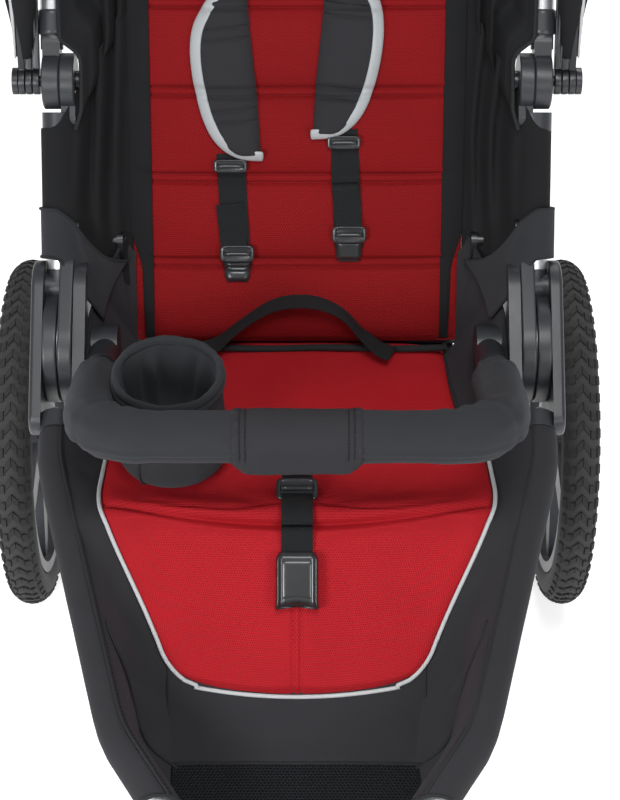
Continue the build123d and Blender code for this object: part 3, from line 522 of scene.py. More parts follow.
def stitches(name, path, up, look, body, pitch=4.2, length=2.6, radius=0.45):
    """Row of thread stitches along a path."""
    verts, faces = [], []
    for point in resample(path, pitch)[:-1]:
        near = min(range(len(path)), key=lambda i: (path[i] - point).length)
        along = heading(path, near)
        side = along.cross(up).normalized()
        base = len(verts)
        for share, size, lift in ((-0.5, 0.35, -0.3), (-0.3, 1.0, 0.25), (0.3, 1.0, 0.25), (0.5, 0.35, -0.3)):
            centre = point + along * (share * length / 1000) + up * (lift * radius / 1000)
            for j in range(6):
                angle = pi * j / 3
                verts.append(centre + (side * cos(angle) + up * sin(angle) * 0.7) * (size * radius / 1000))
        for ring in range(3):
            for j in range(6):
                a, b = base + ring * 6 + j, base + ring * 6 + (j + 1) % 6
                faces.append((a, b, b + 6, a + 6))
        faces += [tuple(range(base, base + 6))[::-1], tuple(range(base + 18, base + 24))]
    return piece(name, verts, faces, look, body)


def inflate(obj, pinned, pressure, cap):
    """Puff a pad by a short cloth simulation; pinned gives how firmly each vertex is held."""
    scene = bpy.context.scene
    group = obj.vertex_groups.new(name="held")
    for index, weight in enumerate(pinned):
        if weight > 0:
            group.add([index], weight, "REPLACE")
    cloth = modify(obj, "CLOTH").settings
    cloth.quality = 6
    cloth.mass = 0.25
    cloth.tension_stiffness = cloth.compression_stiffness = 25
    cloth.shear_stiffness = 8
    cloth.bending_stiffness = 0.6
    cloth.use_pressure = True
    cloth.uniform_pressure_force = pressure
    cloth.effector_weights.gravity = 0
    cloth.vertex_group_mass = "held"
    for number in range(1, 21):
        scene.frame_set(number)
    shaped = obj.evaluated_get(bpy.context.evaluated_depsgraph_get()).to_mesh()
    moved = [v.co.copy() for v in shaped.vertices]
    obj.modifiers.clear()
    scene.frame_set(1)
    for vertex, place in zip(obj.data.vertices, moved):
        shift = place - vertex.co
        if shift.length > cap / 1000:
            shift = shift.normalized() * cap / 1000
        vertex.co = vertex.co + shift
    obj.vertex_groups.clear()
    return obj


# ---------------------------------------------------------------- hard pieces kept from the CAD model
BEVELS = {"upper_hubs": 3.0, "handle_hubs": 3.0, "hub_shell_left": 2.4, "hub_shell_right": 2.4,
          "front_head": 2.5, "parent_tray": 2.0, "tray_lid": 1.5, "fork": 2.0, "brake_pedal": 2.0,
          "footrest": 2.0}
SMALL_BEVEL = 0.9
DARK_STEEL_NODES = ("pivot_screws", "recline_brackets", "rear_bow", "mid_bow", "front_bow")
HARD_SLOTS = ("dark_plastic", "rim", "frame_metal", "hardware", "gloss_plastic")
for node_name, node in frame["nodes"].items():
    slot = next(s for s in frame["record"]["subparts"] if s["node"] == node_name)["material_slot"]
    node.data.materials.clear()
    node.data.materials.append(LOOKS["dark_steel" if node_name in DARK_STEEL_NODES else SLOT_LOOKS[slot]])
    if slot in HARD_SLOTS:
        modify(node, "WELD", merge_threshold=0.00002)
        modify(node, "BEVEL", width=BEVELS.get(node_name, SMALL_BEVEL) / 1000, segments=3,
               limit_method="ANGLE", angle_limit=radians(40), harden_normals=False)
        modify(node, "WEIGHTED_NORMAL")


# ---------------------------------------------------------------- tyres
TYRE_STEPS = 96
TYRE_ARC = 16
# Tread blocks across the tyre: inner and outer angle, slant, and width in pitches
TREAD = ((0.0, 0.30, 0.55, 0.34), (0.36, 0.62, 0.10, 0.36), (-0.36, -0.62, 0.10, 0.36),
         (0.80, 1.08, -0.1, 0.42), (-0.80, -1.08, -0.1, 0.42), (0.0, -0.30, 0.55, 0.34))


def knobby_tyre(name, node, body, pitch_count):
    """Tyre casing of revolution with a moulded tread of chevrons and side lugs."""
    low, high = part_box(node)
    centre, radius = (low + high) / 2, (high.z - low.z) / 2
    half = (high.x - low.x) / 2
    section = half - 0.0018
    middle = radius - half
    rows = []
    for i in range(TYRE_STEPS + 1):
        turn = 2 * pi * i / TYRE_STEPS
        out = Vector((0, -sin(turn), cos(turn)))
        row = []
        for k in range(TYRE_ARC + 1):
            angle = radians(mix(-48, 228, k / TYRE_ARC))
            row.append(centre + out * (middle + section * sin(angle)) + Vector((section * cos(angle), 0, 0)))
        rows.append(row)
    verts, faces, corners = grid(rows)
    step_angle = 2 * pi / pitch_count
    for i in range(pitch_count):
        for inner, outer, slant, width in TREAD:
            base = len(verts)
            for lift in (-0.0012, 0.0021):
                for side, where in ((inner, 0), (outer, 1)):
                    for edge in (-0.5, 0.5):
                        taper = 0.82 if lift > 0 else 1.0
                        turn = step_angle * (i + edge * width * taper * 1.5 + slant * where * 0.6
                                             + 0.5 * (abs(inner) > 0.3))
                        lean = mix(side, (inner + outer) / 2, 0.1 if lift > 0 else 0)
                        reach = section + lift
                        out = Vector((0, -sin(turn), cos(turn)))
                        verts.append(centre + out * (middle + reach * cos(lean))
                                     + Vector((reach * sin(lean), 0, 0)))
            b = base
            block = [(b + 4, b + 5, b + 7, b + 6), (b, b + 1, b + 5, b + 4), (b + 2, b + 6, b + 7, b + 3),
                     (b, b + 4, b + 6, b + 2), (b + 1, b + 3, b + 7, b + 5)]
            if outer > inner:
                block = [face[::-1] for face in block]
            faces += block
            corners += [(0.0, 0.0)] * 20
    made = piece(name, verts, faces, "tyre", body, corners)
    for polygon in list(made.data.polygons)[TYRE_STEPS * TYRE_ARC:]:
        polygon.use_smooth = False
    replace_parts(made, node)
    return made


knobby_tyre("rear_tread_left", "rear_tyre_left", "rear_wheel_left", 62)
knobby_tyre("rear_tread_right", "rear_tyre_right", "rear_wheel_right", 62)
knobby_tyre("front_tread", "front_tyre", "front_wheel", 48)

# ---------------------------------------------------------------- seat cushion and calf pad
PAN_ROLL = 22.0
RED_END = 172.0
RED_CURVE = 14.0
SEAT_START = -14.0
ROLL_TRIM = PAN_ROLL * sin(radians(26.5)) / cos(radians(26.5))
ROLL_RUN = PAN_ROLL * radians(53.0)
CALF_START = PAN_LENGTH - ROLL_TRIM + ROLL_RUN - ROLL_TRIM
SEAT_RUN = CALF_START + RED_END
TAPER_RUN = 234.0
# Underside of the pad: share of the half width and depth below the seat line
SEAT_BOTTOM = ((1.0, -14.0), (0.98, -22.0), (0.5, -23.0), (-0.5, -23.0), (-0.98, -22.0), (-1.0, -14.0))


def seat_line(run, lift):
    """Forward and rise on the seat's top line at a run from the crease, lifted off it."""
    if run <= PAN_LENGTH - ROLL_TRIM:
        return step(CREASE, run, PAN_ANGLE, lift)
    over = run - (PAN_LENGTH - ROLL_TRIM)
    if over >= ROLL_RUN:
        return step(PAN_FRONT, over - ROLL_RUN + ROLL_TRIM, CALF_ANGLE, lift)
    centre = step(CREASE, PAN_LENGTH - ROLL_TRIM, PAN_ANGLE, -PAN_ROLL)
    angle = PAN_ANGLE + 90 - 53.0 * over / ROLL_RUN
    return step(centre, PAN_ROLL + lift, angle)


def seat_half(run):
    """Half width of the red seat pad at a run from the crease."""
    stops = ((SEAT_START, 150), (60, 153), (112, 160), (150, 181), (TAPER_RUN, 186), (SEAT_RUN - 10, 118))
    half = sum(table(run + shift, stops) for shift in (-22, -11, 0, 11, 22)) / 5
    left = SEAT_RUN - run
    corner = 30.0
    if left < corner:
        half -= corner - sqrt(max(0.0, corner ** 2 - (corner - left) ** 2))
    return half


def fold_run(w):
    """Run of the seat's fold line at a share of the half width."""
    return mix(TAPER_RUN + 28, TAPER_RUN - 1, abs(w) ** 2.4)


def seat_lift(x, run):
    """Height of the seat pad's skin over the seat line, without the simulated puff."""
    w = clamp01(abs(x) / seat_half(run))
    lift = -8.0 + 9.0 * (1 - w ** 6) ** 0.7
    past = run - fold_run(w)
    lift -= 10.0 * bell(past, 3.2) * (1 - w ** 10)
    lift += (5.0 * bell(past + 17, 13) + 3.5 * bell(past - 17, 14)) * (1 - w ** 4)
    seam = ease((run - CALF_START - 84) / 8)
    lift -= 3.2 * seam * bell(abs(x) - 3.6, 1.3)
    lift -= 2.0 * exp(-(x / 16) ** 4) * ease((run - 150) / 20) * (1 - seam)
    lift -= 4.0 * ease(1 - (run - SEAT_START) / 26) + 7.0 * ease(1 - (SEAT_RUN - run) / 10)
    return lift


def hem_run(x, run):
    """Run drawn back towards the corners of the calf, so that the lower edge is bowed."""
    return run - RED_CURVE * (x / 118) ** 2 * ease((run - TAPER_RUN - 30) / (SEAT_RUN - TAPER_RUN - 30))


def seat_point(x, run, lift=0.0):
    """Point on the seat pad's skin."""
    return at(x, *seat_line(hem_run(x, run), seat_lift(x, run) + lift))


def seat_pad():
    """Red seat and calf pad as one closed, crowned form."""
    runs = spread(SEAT_START, TAPER_RUN - 8, 62) + spread(TAPER_RUN - 6, TAPER_RUN + 36, 30)
    runs += spread(TAPER_RUN + 39, SEAT_RUN, 52)
    centre = (0.0, 1.8, 3.6, 5.4, 9.0)
    shares = (0.06, 0.12, 0.18, 0.24, 0.31, 0.38, 0.45, 0.52, 0.6, 0.68, 0.76, 0.83, 0.89, 0.94, 0.975, 1.0)
    rows, held = [], []
    for run in runs:
        half = seat_half(run)
        right = list(centre) + [mix(9.0, half, share) for share in shares]
        across = [-x for x in right[:0:-1]] + right
        row = [seat_point(x, run, 0.8 * ripple(at(x, run, 0), 60)) for x in across]
        depth = 1.0 if run < 240 else 0.68
        for share, drop in SEAT_BOTTOM:
            row.append(at(share * half, *seat_line(hem_run(share * half, run), drop * depth)))
        rows.append(row)
        for x in across:
            w = abs(x) / half
            firm = w > 0.93 or abs(run - fold_run(w)) < 5 or (abs(x) < 10 and run > TAPER_RUN)
            firm = firm or run < SEAT_START + 12 or run > SEAT_RUN - 5
            held.append(1.0 if firm else 0.25 if abs(x) < 18 else 0.0)
        held += [1.0] * len(SEAT_BOTTOM)
    made = surface("seat_pad", rows, "red_mesh", "front_frame", closed=True, caps=True)
    inflate(made, held, 4.0, 5.0)
    soften(made)
    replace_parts(made, "seat_cushion", "calf_panel")
    return made


def seat_edge(side, runs, out, lift):
    """Line along the seat pad's edge."""
    return [at(side * (seat_half(run) + out), *seat_line(hem_run(seat_half(run), run), lift)) for run in runs]


seat_pad()
light_runs = spread(128.0, SEAT_RUN, 90)
hem = [at(x, *seat_line(hem_run(x, SEAT_RUN) + 1.5, -6.0)) for x in spread(-97, 97, 40)]
piping_path = seat_edge(-1, light_runs, 1.0, -6.0) + hem + seat_edge(1, light_runs[::-1], 1.0, -6.0)
trim("seat_piping", resample(piping_path, 4), 2.0, look="piping", turns=10)
for side_name, side in SIDES:
    welt = seat_edge(side, spread(SEAT_START, 126, 30), 1.0, -6.0)
    trim(f"seat_welt_{side_name}", resample(welt, 4), 2.4, turns=10)
for offset, tag in ((-3.6, "a"), (3.6, "b")):
    line = [seat_point(offset, run, 0.5) for run in spread(CALF_START + 86, SEAT_RUN - 4, 40)]
    stitches(f"calf_stitches_{tag}", line, Vector((0, -0.707, 0.707)), "red_thread", "front_frame")

# ---------------------------------------------------------------- backrest
BACK_NORMAL = Vector((0, -cos(radians(30)), sin(radians(30))))
CHANNELS = (88.0, 174.0, 260.0, 346.0, 432.0)
BACK_HALF = 168.0


def back_lift(x, run):
    """Height of the backrest's skin in front of the back line."""
    w = clamp01(abs(x) / BACK_HALF)
    lift = -8.0 + 6.0 * (1 - w ** 5)
    gap = min(abs(run - channel) for channel in CHANNELS)
    pillow = clamp01(gap / 40)
    lift += 8.0 * sqrt(pillow) * (1 - w ** 4) * ease((BACK_LENGTH - run) / 20) * ease(run / 24)
    for channel in CHANNELS:
        lift -= 4.6 * bell(abs(run - channel) - 4.0, 1.7) * (1 - w ** 8)
    lift -= 1.5 * bell(abs(x) - 147, 3.0)
    return lift - 8.0 * ease(1 - run / 16) - 8.0 * ease(1 - (BACK_LENGTH - run) / 16)


def back_point(x, run, lift=0.0):
    """Point on the backrest's skin."""
    return at(x, *step(CREASE, run, BACK_ANGLE, -(back_lift(x, run) + lift)))


def back_pad():
    """Red backrest pad with sewn channels, closed at the back."""
    runs = []
    seam_steps = (2, 3.2, 4.2, 5.4, 7)
    edges = [4.0, *CHANNELS, BACK_LENGTH]
    for near, far in zip(edges, edges[1:]):
        inner = spread(near + 8, far - 8, 11)
        runs += [near] + [near + d for d in seam_steps] + inner + [far - d for d in seam_steps]
    runs = sorted(set(runs + [BACK_LENGTH]))
    rows, held = [], []
    half = 166.0
    right = [0, 8, 18, 30, 44, 58, 72, 86, 98, 110, 120, 129, 136, 141, 145, 148, 152, 157, 162, half]
    across = [-x for x in right[:0:-1]] + right
    for run in runs:
        edge, flat = (26, 27) if run > 30 else (9, 9)
        behind = ((half, 14), (half - 3, edge), (80, flat), (-80, flat), (-half + 3, edge), (-half, 14))
        rows.append([back_point(x, run) for x in across]
                    + [at(x, *step(CREASE, run, BACK_ANGLE, back)) for x, back in behind])
        gap = min(abs(run - channel) for channel in CHANNELS)
        for x in across:
            firm = abs(x) > 140 or gap < 5.5 or run < 12 or run > BACK_LENGTH - 10
            held.append(1.0 if firm else 0.0)
        held += [1.0] * 6
    # The backrest pad takes the red mesh darkened by painted shade.
    made = surface("backrest_pad", rows, "painted_shade_red_mesh", "backrest", closed=True, caps=True)
    inflate(made, held, 4.0, 8.0)
    soften(made)
    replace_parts(made, "back_cushion")
    return made


back_pad()
for number, channel in enumerate(CHANNELS):
    for offset in (-4.0, 4.0):
        line = [back_point(x, channel + offset, 0.6) for x in spread(-143, 143, 60)]
        tag = "a" if offset < 0 else "b"
        stitches(f"back_stitches_{number}_{tag}", line, BACK_NORMAL, "red_thread", "backrest",
                 pitch=3.6, length=2.4, radius=0.4)


def border(side_name, side):
    """Black border of the backrest, with a thin red edge left outside its lower part."""
    rows = []
    for run in spread(7, BACK_LENGTH - 4, 96):
        outer = table(run, ((7, 154), (84, 156), (120, 167)))
        rows.append([back_point(side * mix(144.5, outer, share), run, 1.0 + 1.2 * sin(pi * share))
                     for share in spread(0, 1, 6)])
    # The border takes the black cloth darkened by painted shade.
    made = surface(f"back_border_{side_name}", rows, "painted_shade_cloth", "backrest")
    thicken(made, 1.4)
    return declare_sheet(made, rows)


for side_name, side in SIDES:
    border(side_name, side)

# Liner that closes the crease, and the rolled black edge along it
LINER = ((24, -16), (6, -15), (-12, -18), (-26, -20), (-38, -12), (-46, 2), (-54, 18))
liner_rows = [[at(x, *step(CREASE, run, PAN_ANGLE, lift)) for run, lift in LINER]
              for x in spread(-162, 162, 28)]
liner = thicken(surface("crease_liner", liner_rows, "black_cloth", "front_frame"), 1.4)
declare_sheet(liner, liner_rows)
crease_line = [at(x, *step(CREASE, 5, PAN_ANGLE, 3.0 + 0.8 * sin(x / 21))) for x in spread(-152, 152, 60)]
trim("crease_piping", crease_line, 3.4, turns=10)


# ---------------------------------------------------------------- fabric wrapped round a tube
def tangent_angle(inner, centre, radius):
    """Angle at which a straight line from inner meets the top of a circle."""
    dx, dy = inner[0] - centre[0], inner[1] - centre[1]
    start = atan2(dy, dx) - acos(radius / max(hypot(dx, dy), radius * 1.02))
    return start + 2 * pi if start < 0 else start


def wrap_row(inner, centre, radius, end_angle, side, plane_point, slack, curl=0.0, steps=(10, 12)):
    """Row of points from an inner point to a tube, over it and round its outside.

    inner and centre are (x, height) in a section plane, with x outwards, and plane_point turns them into
    the shared frame for the side. curl is from 0, taut, to 1, level at first and then up to the tube.
    """
    start = mix(tangent_angle(inner, centre, radius), radians(150), curl)
    touch = (centre[0] + radius * cos(start), centre[1] + radius * sin(start))
    reach = hypot(touch[0] - inner[0], touch[1] - inner[1])
    rise = start - pi / 2
    third = [(touch[i] - inner[i]) / 3 for i in (0, 1)]
    first = (inner[0] + mix(third[0], 0.5 * reach, curl), inner[1] + mix(third[1], 0, curl))
    second = (touch[0] - mix(third[0], 0.42 * reach * cos(rise), curl),
              touch[1] - mix(third[1], 0.42 * reach * sin(rise), curl))
    row = []
    for t in spread(0, 1, steps[0] + 1)[:-1]:
        weights = ((1 - t) ** 3, 3 * t * (1 - t) ** 2, 3 * t * t * (1 - t), t ** 3)
        x, height = (sum(w * q[i] for w, q in zip(weights, (inner, first, second, touch))) for i in (0, 1))
        row.append(plane_point(side * x, height - slack * sin(pi * t)))
    for angle in spread(start, radians(end_angle), steps[1]):
        row.append(plane_point(side * (centre[0] + radius * cos(angle)), centre[1] + radius * sin(angle)))
    return row


def tube_line(forward):
    """Half width and rise of the front tube's line, before its bends are rounded."""
    return tuple(table(forward, [(stop[0], stop[i]) for stop in TUBE_STATIONS]) for i in (1, 2))


def tube_at(forward):
    """Half width and rise of the front tube's middle, and its slant in plan, at a forward distance."""
    before, here, after = (tube_line(forward + d) for d in (-18, 0, 18))
    x, rise = ((a + 2 * b + c) / 4 for a, b, c in zip(before, here, after))
    return x, rise, hypot(36, before[0] - after[0]) / 36


WELL_START = 318.0
WELL_END = 462.0
SKIRT_END = -125.0


def floor_rise(forward):
    """Height of the black panel below the red pad, then on the footrest."""
    slope, flat = -23.5 - (forward - PAN_FRONT[0]), -171.0
    return flat + 0.5 * (slope - flat + sqrt((slope - flat) ** 2 + 14 ** 2))


def skirt_inner(forward):
    """Where the leg surround starts, on the pad's edge and then on the panel: half width and rise."""
    if forward > WELL_START:
        return table(forward, ((WELL_START, 115), (400, 104), (WELL_END, 104))), floor_rise(forward)
    if forward <= PAN_FRONT[0] - 6:
        actual = (forward - CREASE[0]) / cos(radians(PAN_ANGLE))
    else:
        actual = CALF_START + (forward - PAN_FRONT[0]) / cos(radians(45))
    run = actual
    for _ in range(8):
        run = actual + run - hem_run(seat_half(run), run)
    rise = seat_line(actual, 0)[1] - table(forward, ((190, 9), (250, 14)))
    return seat_half(min(run, SEAT_RUN - 21)) - 3, rise


def skirt_row(forward, side, radius):
    """Section of the leg surround at a forward distance."""
    x, rise, slant = tube_at(forward)
    curl = ease((forward - 236) / 80)
    return wrap_row(skirt_inner(forward), (x, rise), radius * slant, SKIRT_END, side,
                    lambda a, b: at(a, forward, b), slack=2.0 * (1 - curl), curl=curl, steps=(14, 12))


def leg_surround(side_name, side):
    """Black fabric from the seat's edge up to the front tube and round it."""
    rows = []
    for forward in spread(99, WELL_END, 84):
        shaken = []
        for j, point in enumerate(skirt_row(forward, side, TUBE_R + 2.6)):
            loose = ease(j / 4) * (1 - ease((j - 11) / 4))
            wave = sin(0.075 * forward + 0.42 * j + 2.2 * ripple(point, 90, side))
            wide = 2.6 * loose * ease((forward - 240) / 60) * wave
            soft = wide + 0.8 * ripple(point, 32, side) + 1.2 * loose * ripple(point, 14, side + 2)
            shaken.append(point + Vector((-side * 0.4, -0.45, 0.8)) * soft / 1000)
        rows.append(shaken)
    made = surface(f"leg_surround_{side_name}", rows, "black_cloth", "front_frame")
    thicken(made, 1.6)
    declare_sheet(made, rows)
    seam, thread = [], []
    for forward in spread(100, WELL_END - 1, 90):
        x, rise, slant = tube_at(forward)
        for angle, reach, line in ((112, 3.6, seam), (124, 3.2, thread)):
            line.append(at(side * (x + (TUBE_R + reach) * slant * cos(radians(angle))), forward,
                           rise + (TUBE_R + reach) * slant * sin(radians(angle))))
    trim(f"surround_seam_{side_name}", seam, 1.5)
    stitches(f"surround_stitches_{side_name}", thread, Vector((-side * 0.4, -0.3, 0.85)), "black_thread",
             "front_frame")
    gusset = []
    for share in spread(0, 1, 40):
        row = skirt_row(mix(296, 384, share ** 0.8), side, TUBE_R + 3.6)
        place = 14 * (1 - ease(share))
        k = min(int(place), 13)
        gusset.append(row[k].lerp(row[k + 1], place - k) + Vector((0, -0.0004, 0.0009)))
    trim(f"gusset_seam_{side_name}", bend_through(gusset[::4], 5), 1.4)
    trim(f"surround_hem_{side_name}", resample(rows[-1], 5), 2.0)


for side_name, side in SIDES:
    leg_surround(side_name, side)


def lower_panel():
    """Black panel below the red pad and onto the footrest, then the shiny mesh."""
    rows = []
    for forward in spread(284, 386, 36):
        row = []
        for x in spread(-121, 121, 39):
            puff = 2.5 * (1 - (x / 121) ** 4) * ease((forward - 300) / 30) * ease((386 - forward) / 24)
            point = at(x, forward, floor_rise(forward) - 1.0 + puff)
            shaken = 0.0009 * ripple(point, 45) + 0.0004 * ripple(point, 15)
            row.append(point + Vector((0, -0.7, 0.7)) * shaken)
        rows.append(row)
    made = surface("lower_panel", rows, "black_cloth", "front_frame")
    thicken(made, 1.6)
    declare_sheet(made, rows)
    net_rows = []
    for forward in spread(374, 488, 40):
        lift = table(forward, ((374, 0.6), (472, 0.6), (488, 15)))
        net_rows.append([at(x, forward, floor_rise(forward) + lift + 1.6 * (1 - (x / 116) ** 2)
                            + 0.7 * ripple(at(x, forward, 0), 40)) for x in spread(-116, 116, 33)])
    net = surface("footrest_mesh", net_rows, "shiny_mesh", "front_frame")
    thicken(net, 1.2)
    declare_sheet(net, net_rows)
    for tag, row in (("rear", net_rows[0]), ("front", net_rows[-1])):
        trim(f"mesh_edge_{tag}", row, 1.8)


lower_panel()


# ---------------------------------------------------------------- side wings
TUBE_DIR = Vector((0, -cos(radians(UPPER_ANGLE)), sin(radians(UPPER_ANGLE))))
TUBE_FRONT = Vector((0, -sin(radians(UPPER_ANGLE)), -cos(radians(UPPER_ANGLE))))


WRAP_END = -150.0
WING_ROOT = 165.0
# Folds that hang down the wing: place across it, width, and height in millimetres
WING_FOLDS = ((0.2, 0.05, 10), (0.33, 0.055, -9), (0.47, 0.055, 12), (0.63, 0.07, -9), (0.8, 0.06, 6))


def round_tube(inner, tube_run, side, radius, slack):
    """Row of points from a point in the frame to the upper tube and round it."""
    centre = at(side * TUBE_X, *ray(tube_run, UPPER_ANGLE))
    offset = inner - centre
    start, slide = TUBE_X - side * inner.x * 1000, offset.dot(TUBE_DIR)

    def place(x, height):
        outward = side * x - TUBE_X
        share = clamp01(-outward / start)
        beside = centre + Vector((side * outward / 1000, 0, 0))
        return beside + TUBE_FRONT * (height / 1000) + TUBE_DIR * (slide * share)

    return wrap_row((side * inner.x * 1000, offset.dot(TUBE_FRONT) * 1000), (TUBE_X, 0.0), radius, WRAP_END,
                    side, place, slack=slack, steps=(16, 12))


def wing_folds(cross, near_run, point, side):
    """Height of the long soft folds that hang down the wing."""
    drift = 0.05 * sin(near_run / 60 + side) + 0.03 * ripple(point, 120, side)
    folds = sum(size * bell(cross - place - drift, width) for place, width, size in WING_FOLDS)
    edge = ease(cross / 0.12) * ease((1 - cross) / 0.12)
    return folds * edge * mix(0.3, 1.0, ease((near_run - 90) / 160)) + 0.9 * ripple(point, 26, side)


def join_back(obj):
    """Bake a piece's placement into its mesh; it is left on no body."""
    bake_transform(obj)
    return obj


def wing(side_name, side):
    """Fabric wing from the backrest's edge to the upper tube, and on past the upper hub to the canopy."""
    lower, upper = [], []
    for share in spread(0, 1, 56):
        near_run = mix(60, 352, share)
        inner = back_point(side * WING_ROOT, near_run, -1.0)
        row = round_tube(inner, mix(90, 215, share), side, TUBE_R + 2.0, 5)
        lower.append([point + TUBE_FRONT * (wing_folds(j / 17, near_run, point, side) / 1000) if j < 17 else
                      point + TUBE_FRONT * (0.0005 * ripple(point, 30, side)) for j, point in enumerate(row)])
    for share in spread(0, 1, 40):
        near_run = mix(347, 516, share)
        outer_run = mix(213, 410, share)
        outer_x = table(outer_run, ((213, 214), (232, 208), (282, 208), (290, 215), (299, 228), (410, 231)))
        inner = back_point(side * WING_ROOT, near_run, -1.0)
        outer = at(side * outer_x, *ray(outer_run, UPPER_ANGLE)) + TUBE_FRONT * 0.012
        row = []
        for cross in spread(0, 1, 26):
            point = inner.lerp(outer, cross)
            height = wing_folds(cross, near_run, point, side) - 5 * sin(pi * cross)
            row.append(point + TUBE_FRONT * (height / 1000))
        upper.append(row)
    for tag, rows, rest in (("lower", lower, "upper_tubes"), ("upper", upper, "upper_hubs")):
        # The wings take the black cloth darkened by painted shade.
        made = surface(f"side_wing_{tag}_{side_name}", rows, "painted_shade_cloth")
        thicken(made, 1.6)
        join_back(made)
        declare_sheet(made, rows)
    edge = resample([row[-1] for row in upper], 5)
    join_back(sweep(f"wing_edge_{side_name}", edge, 2.0, "dark_binding", turns=8))


def flap_inner(share, side):
    """Inner edge of the flap, from the backrest down to the seat's side."""
    top = back_point(side * 169, 92, 15.0)
    return top.lerp(at(side * 190, -18, 22), share) + Vector((side * 0.004 * sin(pi * share), 0, 0))


def flap(side_name, side):
    """Overlapping flap from the seat's side round the foot of the upper tube."""
    rows = []
    for share in spread(0, 1, 30):
        tube_run = mix(137, 90, share)
        row = round_tube(flap_inner(share, side), tube_run, side, TUBE_R + 5.2, -7)
        moved = []
        for j, point in enumerate(row):
            loose = ease(j / 4) * (1 - ease((j - 13) / 4))
            hang = loose * (3.0 * ripple(point, 60, side + 5) + 1.5 * sin(9 * share + 0.5 * j))
            curve = -12.0 * sin(pi * clamp01(j / 16)) * (1 - share)
            hang += 0.7 * ripple(point, 24, side)
            moved.append(point + TUBE_FRONT * (hang / 1000) + TUBE_DIR * (curve / 1000))
        rows.append(moved)
    made = join_back(thicken(surface(f"wing_flap_{side_name}", rows, "soft_cloth"), 1.6))
    declare_sheet(made, rows)
    for tag, row in (("top", rows[0]), ("low", rows[-1])):
        line = sweep(f"flap_edge_{tag}_{side_name}", resample(row, 4), 1.5, "dark_binding", turns=8)
        join_back(line)


# Outer edge of the seat's side: share of its length, x, forward and rise
SIDE_HEAD = ((0.0, 172, -103, 54), (0.35, 196, -46, 40), (0.5, 203, -15, 30), (0.75, 204, 45, 12),
             (1.0, 204.5, 108, -12))


def seat_side(side_name, side):
    """Fabric wall beside the seat, from the cushion's edge out to the flap and the hub."""
    rows = []
    for share in spread(0, 1, 56):
        if share < 0.35:
            base = at(side * 162, *step(CREASE, 100 * (1 - share / 0.35), BACK_ANGLE, 4.0))
        else:
            run = mix(0, 154, (share - 0.35) / 0.65)
            base = at(side * (seat_half(run) - 1), *step(CREASE, run, PAN_ANGLE, -9))
        x, forward, rise = (table(share, [(stop[0], stop[i]) for stop in SIDE_HEAD]) for i in (1, 2, 3))
        head = at(side * x, forward, rise)
        row = []
        for across in spread(0, 1, 18):
            point = base.lerp(head, across) + Vector((0, 0, -0.006 * sin(pi * across)))
            fold = 2.6 * sin(pi * across) * sin(26 * share + 3 * across) + 1.0 * ripple(point, 22, side)
            row.append(point + Vector((-side * 0.5, -0.5, 0.6)) * fold / 1000)
        rows.append(row)
    made = surface(f"seat_side_{side_name}", rows, "black_cloth", "front_frame")
    thicken(made, 1.6)
    declare_sheet(made, rows)
    trim(f"seat_side_edge_{side_name}", [row[-1] for row in rows], 2.0)


for side_name, side in SIDES:
    wing(side_name, side)
    flap(side_name, side)
    seat_side(side_name, side)
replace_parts(bpy.data.objects["side_wing_lower_left"], "side_wings")

# ---------------------------------------------------------------- harness
PAD_OUTER = ((195, 36), (196, 50), (199.5, 62), (206, 72), (216, 81), (231, 89), (250, 95), (275, 100),
             (302, 102), (324, 99), (342, 90), (356, 82), (380, 80), (470, 82))
PAD_INNER = ((195, 35), (250, 38), (290, 42), (340, 47), (400, 50), (470, 52))
PAD_SEAMS = (40.0, 52.0, 121.0, 132.0)
PAD_TILT = 6.0
# Section of the pale binding: distance in from the pad's edge, and height
BINDING = ((-2.0, 1.5), (-2.8, 4.5), (-1.2, 7.4), (3.4, 10.6), (8.0, 12.6), (9.2, 9.5), (4, 3.0))


def shoulder_pad(side_name, side, drop, inset):
    """Padded shoulder sleeve with a wide pale binding on its outer and lower edges."""
    near, far = PAD_OUTER[0][0] + drop, PAD_OUTER[-1][0]

    def outer(run):
        return table(run - drop, PAD_OUTER) - inset

    def inner(run):
        return table(run - drop, PAD_INNER) - inset

    def lift(share, run):
        crown = 1 - (2 * share - 1) ** 4
        ends = ease((run - near) / 6) * ease((far - run) / 10)
        pressed = sum(bell(run - near - d + PAD_TILT * share, 1.8) for d in PAD_SEAMS)
        return 4.0 + 9.0 * crown * ends - 3.0 * pressed * crown

    def across(share, run, height):
        return back_point(side * mix(inner(run), outer(run), share), run, height)

    rows = []
    for run in spread(near, far, 150):
        row = [across(share, run, lift(share, run)) for share in spread(0, 1, 17)]
        rows.append(row + [across(share, run, 0.8) for share in (1.0, 0.5, 0.0)])
    made = surface(f"shoulder_pad_{side_name}", rows, "black_cloth", "backrest", closed=True, caps=True)
    soften(made)

    corners = [Vector((inner(near) - 2, near, 0))]
    corners += [Vector((x - inset, run + drop, 0)) for run, x in PAD_OUTER[1:]]
    corners[-1].y = far
    path = [point * 1000 for point in bend_through([corner / 1000 for corner in corners], 3)]
    bound = []
    for before, here, after in zip(path[:1] + path, path, path[1:] + path[-1:]):
        along = (after - before).normalized()
        bound.append([back_point(side * (here.x - along.y * inward), here.y + along.x * inward, height)
                      for inward, height in BINDING])
    band = surface(f"pad_binding_{side_name}", bound, "binding", "backrest", closed=True, caps=True)
    soften(band)
    for d in PAD_SEAMS:
        line = []
        for share in spread(0.06, 0.84, 16):
            run = near + d - PAD_TILT * share
            line.append(across(share, run, lift(share, run) + 0.5))
        stitches(f"pad_stitches_{side_name}_{int(d)}", line, BACK_NORMAL, "black_thread", "backrest",
                 pitch=3.4, length=2.4, radius=0.5)
    return made


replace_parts(shoulder_pad("left", -1, 0.0, 0.0), "shoulder_pads")
shoulder_pad("right", 1, 22.0, 20.0)


